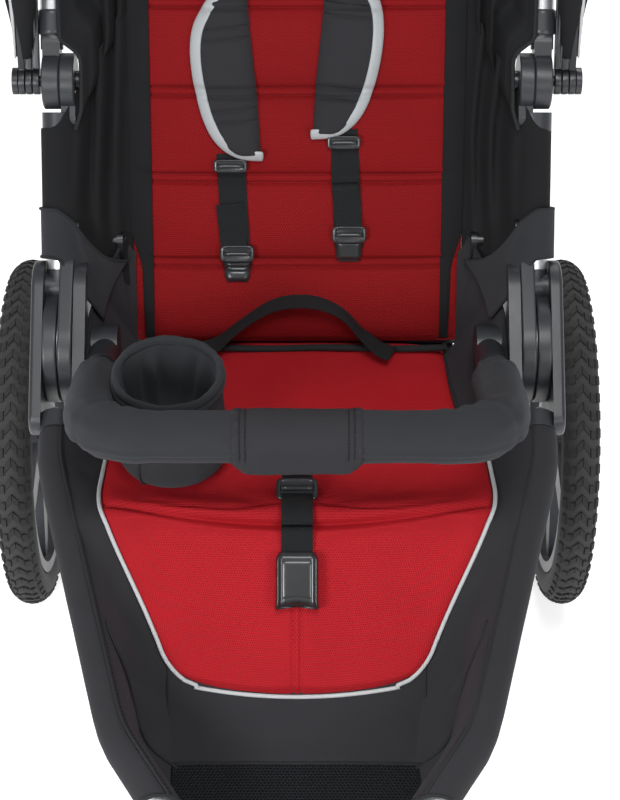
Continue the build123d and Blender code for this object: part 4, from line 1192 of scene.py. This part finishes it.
def harness_strap(side_name, side, near, far, x_low, x_high):
    """Webbing below a shoulder pad, with a slide at its top and a tongue at its end."""
    path = [back_point(side * mix(x_low, x_high, share), mix(near, far, share), 3.0 + 1.5 * sin(5 * share))
            for share in spread(0, 1, 34)][::-1]
    ribbon(f"harness_webbing_{side_name}", path, ACROSS, 28, 2.0, "backrest")
    moulded_slide(f"harness_slide_{side_name}", back_point(side * x_high, far - 12, 4.0), 33, 13, 3.4,
                  "backrest", BACK_NORMAL)
    tail = [back_point(side * (mix(x_low, x_high, share) + 1.5), mix(near + 6, near + 66, share),
                       5.5 + 2.0 * sin(7 * share)) for share in spread(0, 1, 20)][::-1]
    ribbon(f"harness_tail_{side_name}", tail, ACROSS, 26, 1.8, "backrest")
    moulded_slide(f"harness_adjuster_{side_name}", back_point(side * x_low, near + 16, 6.0), 34, 17, 3.6,
                  "backrest", BACK_NORMAL)
    rows = []
    for share in spread(0, 1, 14):
        half = 13.0 - 2.5 * ease((0.3 - share) / 0.3) + 1.0 * ease((share - 0.8) / 0.2)
        run = near - 14 + 22 * share
        row = [back_point(side * x_low + half * u, run, 3.0 + 4.0 * (1 - u ** 6) * ease(share / 0.2)
                          * ease((1 - share) / 0.1)) for u in spread(-1, 1, 13)]
        rows.append(row + [back_point(side * x_low + half * u, run, 1.5) for u in (1, 0, -1)])
    return surface(f"harness_tongue_{side_name}", rows, "gloss_plastic", "backrest", closed=True, caps=True)


def moulded_slide(name, centre, width, height, thick, body, normal):
    """Moulded slide: a rounded plate with a hollowed face and a bar across it."""
    up = normal.cross(ACROSS).normalized()
    if up.z < 0:
        up = -up
    angles = [2 * pi * k / 32 for k in range(32)]
    box = [(squared(cos(angle), 0.35), squared(sin(angle), 0.35)) for angle in angles]
    rows = []
    for scale, lift in ((0.94, 0), (1.0, 0.25), (1.0, 0.75), (0.94, 1.0), (0.80, 1.05), (0.76, 0.75)):
        rows.append([centre + ACROSS * (a * width * scale / 2000) + up * (b * height * scale / 2000)
                     + normal * (lift * thick / 1000) for a, b in box])
    plate = surface(name, rows, "gloss_plastic", body, closed=True, caps=True)
    modify(plate, "BEVEL", width=0.0004, segments=2, limit_method="ANGLE", angle_limit=radians(50))
    settle(plate)
    ends = [centre + Vector((dx / 1000, 0, 0)) + normal * (thick * 1.15 / 1000)
            for dx in (-width * 0.38, width * 0.38)]
    sweep(name + "_bar", resample(ends, 6), 2.0, "gloss_plastic", body, turns=10, first_side=normal)
    return plate


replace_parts(harness_strap("left", -1, 84.0, 200.0, 60.0, 66.0), "harness_tongues")
harness_strap("right", 1, 104.0, 224.0, 52.0, 46.0)

# Crotch strap over the front of the seat, with its slide
strap_runs = spread(160, CALF_START + 44, 60)
strap_path = [seat_point(0, run, 2.6 + 6.0 * bell(run - fold_run(0), 10)) for run in strap_runs][::-1]
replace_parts(ribbon("crotch_webbing", strap_path, ACROSS, 29, 2.0, "front_frame"), "crotch_strap")
SLIDE_RUN = 226
slide_normal = Vector((0, -sin(radians(PAN_ANGLE)), cos(radians(PAN_ANGLE))))
crotch_slide = moulded_slide("crotch_slide", seat_point(0, SLIDE_RUN, 4.6), 39, 24, 3.4, "front_frame",
                             slide_normal)
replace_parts(crotch_slide, "strap_adjuster")


def buckle():
    """Glossy harness buckle with raised sides and a hollowed lower edge; its face is the release button."""
    low, high = 37.0, 92.0

    def face(u, share, lift):
        run = mix(low, high, share) - 6.0 * (1 - u * u) * ease((share - 0.55) / 0.45)
        half = 20.0 - 3.0 * ease(1 - share / 0.12) + 1.2 * ease((share - 0.8) / 0.2)
        return at(u * half, *step(PAN_FRONT, run, CALF_ANGLE, lift))

    rows = []
    for share in spread(0, 1, 26):
        row = []
        for u in spread(-1, 1, 29):
            rim = 3.0 * ease((abs(u) - 0.76) / 0.07) * (1 - ease((abs(u) - 0.93) / 0.06))
            rim *= ease(share / 0.12)
            lift = 12.5 - 6.0 * ease((abs(u) - 0.92) / 0.08) - 4.0 * ease(1 - share / 0.08)
            row.append(face(u, share, lift + rim - 5.0 * ease((share - 0.94) / 0.06)))
        rows.append(row + [face(u * 0.95, share, 1.5) for u in (1, 0.5, 0, -0.5, -1)])
    made = surface("harness_buckle_shell", rows, "gloss_plastic", "front_frame", closed=True, caps=True)
    soften(made)
    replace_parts(made, "harness_buckle")
    rows = []
    for share in spread(0.14, 0.92, 20):
        edge = ease((share - 0.14) / 0.05) * ease((0.92 - share) / 0.04)
        groove = 0.8 * bell(share - 0.84, 0.02)
        rows.append([face(0.72 * u, share, 12.4 + 1.0 * edge * (1 - u ** 10) - groove)
                     for u in spread(-1, 1, 17)] + [face(0.72 * u, share, 9.0) for u in (1, 0, -1)])
    button = surface("buckle_push", rows, "gloss_plastic", "buckle_button", closed=True, caps=True)
    soften(button)
    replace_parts(button, "buckle_button")


buckle()

# Fold strap across the crease
FOLD_STRAP = ((-98, 14, 6), (-80, 8, 10), (-56, 0, 30), (-22, -5, 50), (14, -6, 53), (44, -3, 42),
              (66, 6, 20), (82, 14, 9), (96, 20, 6))
fold_path = bend_through([at(x, *step(CREASE, run, PAN_ANGLE, lift)) for x, run, lift in FOLD_STRAP], 4)
fold_strap = ribbon("fold_webbing", fold_path, Vector((0, -1, 0.14)), 26, 2.0, "front_frame")
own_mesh(fold_strap)
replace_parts(fold_strap, "fold_strap")

# ---------------------------------------------------------------- bumper bar
BAR_FOOT = 64.0
bar_corners = [at(x, *ray(reach, BAR_ANGLE)) for x, reach in
               ((-BAR_X, BAR_FOOT), (-BAR_X, BAR_REACH), (BAR_X, BAR_REACH), (BAR_X, BAR_FOOT))]
bar_path = resample(rounded(bar_corners, BAR_CORNER, 14), 5)
bar_length = lengths(bar_path)[-1] * 1000
BAR_SEAMS = (34.0, 156.0, bar_length - 156.0, bar_length - 34.0)
BAR_DOWN = pi / 2


def bar_radius(distance, angle, point):
    """Radius of the padded bar cover: tapered ends, ring seams, a lengthwise welt and small wrinkles."""
    end = min(distance, bar_length - distance)
    radius = mix(13.4, 23.4, ease(end / 34)) + 1.5 * ripple(point, 46) + 0.6 * ripple(point, 15, 4)
    for seam in BAR_SEAMS:
        radius -= 2.4 * bell(distance - seam, 2.2)
        radius += 0.9 * bell(abs(distance - seam) - 9, 7) * sin(8 * angle + seam)
    bend = bell(end - 178, 34)
    radius += bend * (1.5 + 1.3 * sin(end / 3.6) * ease(0.3 - cos(angle)))
    turn = abs((angle - 0.13 * pi + pi) % (2 * pi) - pi)
    radius += 1.4 * bell(turn, 0.055) - 0.7 * bell(turn - 0.17, 0.08)
    return radius


bar_cover = sweep("bar_cover", bar_path, bar_radius, "soft_cloth", "bar", turns=72, first_side=-ACROSS)
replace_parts(bar_cover, "bar_pad")
SLEEVE_HALF = 58.0


def sleeve_radius(distance, angle, point):
    """Sleeve in the middle of the bar, which hangs a little at its lower front."""
    end = min(distance, 2 * SLEEVE_HALF - distance)
    radius = 25.2 + 0.9 * ripple(point, 40, 2) + 0.35 * ripple(point, 13, 6) - 1.8 * ease(1 - end / 3)
    radius -= 0.9 * (bell(end - 8, 1.3) + bell(end - 13, 1.3))
    radius += 0.6 * sin(12 * angle) * bell(end - 5, 5)
    under = abs((angle - 0.72 * BAR_DOWN + pi) % (2 * pi) - pi)
    return radius + 8.5 * bell(under, 0.3) * ease(end / 14)


bar_middle = [at(x, *ray(BAR_REACH, BAR_ANGLE)) for x in spread(-SLEEVE_HALF, SLEEVE_HALF, 70)]
BAR_FRONT = Vector((0, -cos(radians(BAR_ANGLE)), sin(radians(BAR_ANGLE))))
BAR_UP = Vector((0, sin(radians(BAR_ANGLE)), cos(radians(BAR_ANGLE))))
sleeve = sweep("bar_sleeve", bar_middle, sleeve_radius, "black_cloth", "bar", turns=80, first_side=BAR_FRONT)
for offset in (-SLEEVE_HALF + 8, -SLEEVE_HALF + 13, SLEEVE_HALF - 13, SLEEVE_HALF - 8):
    line = [at(offset, *ray(BAR_REACH, BAR_ANGLE)) + (BAR_FRONT * cos(angle) + BAR_UP * sin(angle)) * 0.0251
            for angle in spread(-0.9, 1.9, 40)]
    stitches(f"sleeve_stitches_{int(offset) + 60}", line, (BAR_FRONT + BAR_UP).normalized(), "black_thread",
             "bar", pitch=3.2, length=2.2, radius=0.5)


# ---------------------------------------------------------------- soft cup holder
def cup_holder():
    """Soft cup holder: padded double rim, gathered lining and a rounded body."""
    low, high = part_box("cup_holder")
    centre = (low + high) / 2
    centre.y += 0.003
    wide, deep = 0.052, 0.0465
    top, bottom = high.z - 0.002, low.z - 0.047
    height = top - bottom

    def around(count):
        return [2 * pi * j / count for j in range(count)]

    def oval(angle, share, extra, z):
        return Vector((centre.x + (wide * share + extra) * cos(angle),
                       centre.y + (deep * share + extra) * sin(angle), z))

    def ring(share, level, gather, phase):
        row = []
        for angle in around(96):
            fold = gather * (0.55 * sin(11 * angle + phase) + 0.3 * sin(17 * angle + 1.3 * phase)
                             + 0.25 * sin(5 * angle))
            droop = 0.0022 * level * sin(angle + 0.6)
            row.append(oval(angle, share, fold, bottom + height * level + droop))
        return row

    outside = ((0.10, 0.0), (0.52, 0.004), (0.78, 0.022), (0.93, 0.06), (1.0, 0.12), (1.02, 0.20),
               (1.0, 0.33), (0.97, 0.50), (0.945, 0.70), (0.935, 0.86), (0.92, 0.955))
    inside = ((0.87, 0.94), (0.845, 0.86), (0.825, 0.76), (0.80, 0.64), (0.77, 0.52), (0.71, 0.42),
              (0.60, 0.35), (0.40, 0.32), (0.15, 0.31))
    rows = [ring(share, level, 0.0007 * ease(level / 0.3), 0.4 + 2 * level) for share, level in outside]
    rows += [ring(share, level, 0.0056 * ease((0.93 - level) / 0.2) * ease(share / 0.7), 0.4 + 2.6 * level)
             for share, level in inside]
    shell = surface("cup_body", rows, "soft_cloth", "bar", closed=True, caps=True)
    soften(shell)
    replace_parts(shell, "cup_holder")
    parts = [shell]
    for tag, grow, drop, thick in (("upper", 0.925, 0.0035, 0.0040), ("lower", 0.95, 0.0105, 0.0038)):
        rim_rows = []
        for angle in around(97)[:-1] + [0.0]:
            out = Vector((cos(angle), sin(angle), 0))
            droop = 0.0022 * sin(angle + 0.6) + 0.0009 * sin(3 * angle + 1) + 0.0004 * sin(8 * angle)
            middle = oval(angle, grow, 0.0, top - drop + droop)
            swell = thick * (1 + 0.07 * sin(9 * angle + drop) + 0.05 * sin(23 * angle))
            rim_rows.append([middle + (out * cos(k) * 0.85 + Vector((0, 0, 1)) * sin(k) * 1.15) * swell
                             for k in around(14)])
        rim = surface(f"cup_rim_{tag}", rim_rows, "soft_cloth", "bar", closed=True)
        parts.append(rim)
    seam = [oval(-0.68 * pi, share, 0.0006, bottom + height * level) for share, level in outside[1:]]
    parts.append(trim("cup_seam", bend_through(seam, 3), 1.0, "bar"))
    for part in parts:
        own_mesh(part)


cup_holder()


# ---------------------------------------------------------------- canopy
BOW_REACH = 290.0
BOW_X = 254.0
BOW_FOOT = 24.0
BOW_CORNER = 80.0


def hoop(angle, inset, count):
    """Path along a canopy bow from the left pivot, over the top, to the right pivot."""
    x = BOW_X - inset
    foot, head = step(UPPER_HUB, BOW_FOOT, angle), step(UPPER_HUB, BOW_REACH - inset, angle)
    corners = [at(-x, *foot), at(-x, *head), at(x, *head), at(x, *foot)]
    return resample_count(rounded(corners, BOW_CORNER, 12), count)


def hoop_normals(path):
    """Outward direction across a hoop at each of its points."""
    plane = (path[len(path) // 2] - path[0]).cross(path[-1] - path[0]).normalized()
    out = [heading(path, i).cross(plane).normalized() for i in range(len(path))]
    middle = len(path) // 2
    if out[middle].dot(path[middle] - path[0]) < 0:
        out = [-normal for normal in out]
    return out


def canopy_part(name, near_angle, far_angle, insets, bulge, look):
    """Folded canopy fabric between two bows. It is shallow."""
    count = 110
    first, last = hoop(near_angle, insets[0], count), hoop(far_angle, insets[1], count)
    normals = hoop_normals(first)
    rows = []
    for i in range(count):
        along = i / (count - 1)
        full = ease(along * 7) * ease((1 - along) * 7)
        row = []
        for k in spread(0, 1, 19):
            point = first[i].lerp(last[i], k)
            pleat = sin(pi * k) * (bulge + 0.25 * bulge * sin(along * 31))
            pleat += 0.35 * bulge * sin(3 * pi * k + along * 9)
            row.append(point + normals[i] * (full * (pleat + 1.3 * ripple(point, 40, 5)) / 1000))
        rows.append(row)
    made = thicken(surface(name, rows, look), 1.4)
    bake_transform(made)
    declare_sheet(made, rows)
    return made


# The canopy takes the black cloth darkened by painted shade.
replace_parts(canopy_part("canopy_rear", 120.0, 114.0, (-12, -15), 20, "painted_shade_cloth"),
            "canopy_fabric")
canopy_part("canopy_front", 114.0, 108.0, (-15, -18), 17, "painted_shade_cloth")
canopy_part("canopy_lining_rear", 119.5, 114.5, (3, 1), 6, "lining")
canopy_part("canopy_lining_front", 113.5, 108.5, (-3, -5), 6, "lining")


def bow_trim(name, angle, inset, look, body, radius):
    """Rolled edge along a bow, thinner towards the pivots."""
    path = resample_count(hoop(angle, inset, 60), 110)
    total = lengths(path)[-1] * 1000

    def swell(distance, turn, point):
        end = min(distance, total - distance)
        return radius * mix(0.4, 1.0, ease(end / 70)) * (1 + 0.12 * ripple(point, 36, 3))

    return sweep(name, path, swell, look, body, turns=20)


bow_trim("canopy_piping", 104.2, -17, "piping", "front_bow", 2.3)
# The hem and seam take the black cloth darkened by painted shade.
bow_trim("canopy_hem", 106.8, -6, "painted_shade_cloth", "front_bow", 12.5)
bow_trim("canopy_seam", 120.6, -6, "painted_shade_cloth", "upper_frame", 8.0)


# ---------------------------------------------------------------- back of the seat
def back_cover():
    """Fabric on the back of the seat, with a pocket and bound edges."""
    rows = []
    for run in spread(24, BACK_LENGTH - 6, 40):
        rows.append([at(x, *step(CREASE, run, BACK_ANGLE, 39.6 + 3.5 * (1 - (x / 163) ** 4)
                                 + 1.6 * ripple(at(x, run, 0), 80, 9))) for x in spread(-163, 163, 33)])
    # The back cover takes the black cloth darkened by painted shade.
    made = surface("seat_back_cover", rows, "painted_shade_cloth", "backrest")
    thicken(made, 1.8)
    declare_sheet(made, rows)
    pocket = []
    for run in spread(150, 330, 24):
        pocket.append([at(x, *step(CREASE, run, BACK_ANGLE, 44.5 + (6 + 5 * sin(pi * (run - 150) / 230))
                                   * (1 - (x / 118) ** 4) + 1.5 * ripple(at(x, run, 0), 50, 4)))
                       for x in spread(-118, 118, 29)])
    bag = surface("back_pocket", pocket, "soft_cloth", "backrest")
    thicken(bag, 1.6)
    declare_sheet(bag, pocket)
    trim("pocket_edge", pocket[-1], 2.4, "backrest")
    places = [(-163, run) for run in spread(24, BACK_LENGTH - 20, 30)]
    places += [(x, BACK_LENGTH - 6) for x in spread(-150, 150, 20)]
    places += [(163, run) for run in spread(BACK_LENGTH - 20, 24, 30)]
    loop = [at(x, *step(CREASE, run, BACK_ANGLE, 38.0)) for x, run in places]
    trim("back_cover_edge", resample(loop, 6), 3.0, "backrest")


back_cover()


# ---------------------------------------------------------------- storage basket
# Rings of the basket from the middle of its floor: share of the size, share of the height, and bow. The
# smallest ring is left open, a hole of 5 per cent of the floor's width.
BASKET_RINGS = ((0.05, 0.02, 0), (0.4, 0.03, 0), (0.7, 0.05, 0), (0.84, 0.09, 0), (0.90, 0.2, 0.1),
                (0.935, 0.4, 0.3), (0.96, 0.6, 0.6), (0.98, 0.8, 0.8), (0.995, 0.97, 1.0))


def basket():
    """Sagging fabric basket with a bound rim, hung from the frame by four straps."""
    low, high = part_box("storage_basket")
    middle = (low + high) / 2
    size = (high - low) / 2
    turns = 96

    def ring(share, z, bow):
        row = []
        for j in range(turns):
            angle = 2 * pi * j / turns
            a, b = squared(cos(angle), 0.38), squared(sin(angle), 0.38)
            point = Vector((middle.x + a * size.x * share, middle.y + b * size.y * share, z))
            dip = -0.010 * bow * (1 - abs(a * b))
            point += Vector((a, b, 0)) * (0.002 * ripple(point, 70, 3)) + Vector((0, 0, dip))
            row.append(point)
        return row

    height = high.z - low.z
    outer = [ring(share, low.z + height * level, bow) for share, level, bow in BASKET_RINGS]
    made = surface("basket_body", outer, "black_cloth", "front_frame", closed=True, caps=False)
    modify(made, "SOLIDIFY", thickness=0.0018, offset=-1)
    soften(made)
    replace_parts(made, "storage_basket")
    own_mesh(made)
    rim = sweep("basket_rim", outer[-1] + outer[-1][:1], 3.2, "dark_binding", "front_frame", turns=10,
                caps=False)
    ends = (("front", low.y + 0.012, (214, 178, -48)), ("rear", high.y - 0.03, (190, 6, -84)))
    for side_name, side in SIDES:
        for tag, y, top in ends:
            corner = Vector((side * size.x * 0.93, y, high.z)) - Vector((0, 0, 0.01))
            path = resample([corner, at(side * top[0], *top[1:])], 8)
            ribbon(f"basket_strap_{tag}_{side_name}", path, Vector((0, 1, 0)), 22, 1.8, "front_frame")


basket()


# ---------------------------------------------------------------- trims on the frame
def collar(name, x, start, near, far, radius, look, body):
    """Sleeve or ring on an upper tube."""
    count = max(6, int((far - near) / 2))
    path = [at(x, *step(start, distance, UPPER_ANGLE)) for distance in spread(near, far, count)]

    def swell(distance, turn, point):
        end = min(distance, (far - near) - distance)
        return radius - 1.0 * ease(1 - end / 1.6)

    return sweep(name, path, swell, look, body, turns=28)


def outline(circles, shrink):
    """Forward and rise of points round one circle, or round two circles and the lines that join them."""
    forward, rise, reach = circles[0]
    if len(circles) == 1:
        return [step((forward, rise), reach - shrink, 360 * j / 96) for j in range(96)]
    far_forward, far_rise, far_reach = circles[1]
    along = degrees(atan2(far_rise - rise, far_forward - forward))
    lean = degrees(acos((reach - far_reach) / hypot(far_forward - forward, far_rise - rise)))
    turns = spread(along + lean, along + 360 - lean, 64)
    ends = spread(along - lean, along + lean, 32)
    return ([step((forward, rise), reach - shrink, turn) for turn in turns]
            + [step((far_forward, far_rise), far_reach - shrink, turn) for turn in ends])


def drum(name, side, layer, circles, body):
    """Solid with softly rounded edges that fills one layer of a side hub."""
    low, high = layer
    near = ((0.0, 8.0), (0.0, 3.0), (0.0, 1.1), (0.3, 0.35), (1.1, 0.0), (2.2, 0.0))
    profile = [(low + d, shrink) for d, shrink in near] + [(high - d, shrink) for d, shrink in near[::-1]]
    rows = [[at(side * x, *point) for point in outline(circles, shrink)] for x, shrink in profile]
    return surface(name, rows, "dark_plastic", body, closed=True, caps=True)


HUB_CORE = (0.0, 0.0, 54.0)
HUB_ARM = (*ray(74, UPPER_ANGLE), 21.0)
ARM_LAYER = (217.4, 230.9)
LEG_LAYER = (232.3, 245.6)
for side_name, side in SIDES:
    drum(f"arm_drum_{side_name}", side, ARM_LAYER, (HUB_CORE, HUB_ARM), "upper_frame")
    drum(f"leg_drum_{side_name}", side, LEG_LAYER, (HUB_CORE,), "rear_legs")
    collar(f"hub_ring_{side_name}", side * TUBE_X, (0, 0), 96.5, 99.0, 17.0, "silver", "upper_frame")
    collar(f"handle_sleeve_{side_name}", side * HANDLE_X, UPPER_HUB, 44, 68, 12.8, "dark_plastic", "handle")

# ---------------------------------------------------------------- floor, light and camera
floor_mesh = bpy.data.meshes.new("floor")
floor_mesh.from_pydata([(-6, -6, 0), (6, -6, 0), (6, 6, 0), (-6, 6, 0)], [], [(0, 1, 2, 3)])
floor = bpy.data.objects.new("floor", floor_mesh)
bpy.context.scene.collection.objects.link(floor)
floor_look = Look("floor", Roughness=0.95, Specular_IOR_Level=0.1, Emission_Strength=0.6)
floor_look.shader.inputs["Emission Color"].default_value = (1, 1, 1, 1)
pale = floor_look.colours(floor_look.noise(0.8, 2), (0.93, 0.93, 0.93), (0.96, 0.96, 0.96))
floor_mesh.materials.append(floor_look.finish(pale, floor_look.noise(300, 2), 0.02, 0.0005))

world = bpy.data.worlds.new("studio")
bpy.context.scene.world = world
world.use_nodes = True
world.node_tree.nodes["Background"].inputs["Color"].default_value = (1.0, 1.0, 1.0, 1)
world.node_tree.nodes["Background"].inputs["Strength"].default_value = 0.36


def softbox(name, place, target, size, power):
    """Large area light."""
    data = bpy.data.lights.new(name, "AREA")
    data.shape, data.size, data.energy = "DISK", size, power
    made = bpy.data.objects.new(name, data)
    made.location = place
    made.rotation_euler = (Vector(target) - Vector(place)).to_track_quat("-Z", "Y").to_euler()
    bpy.context.scene.collection.objects.link(made)


softbox("key", (-0.8, -1.2, 1.25), (0, -0.3, 0.35), 0.5, 15)
softbox("fill", (0.85, -1.25, 1.2), (0, -0.25, 0.35), 0.5, 7)
softbox("top", (0.1, -0.7, 2.7), (0, -0.05, 0.5), 0.9, 26)
softbox("rim", (0.4, 2.1, 2.1), (0, 0, 0.6), 1.4, 18)

camera_data = bpy.data.cameras.new("camera")
camera_data.sensor_width = 36
camera_data.lens = 89.55
camera_data.shift_x = 0.01625
camera = bpy.data.objects.new("camera", camera_data)
camera.location = (0.0, HUB.y - 1.3915, 1.8909)
camera.rotation_euler = (radians(43.5), 0, 0)
bpy.context.scene.collection.objects.link(camera)
bpy.context.scene.camera = camera
bpy.context.scene.view_settings.view_transform = "Standard"
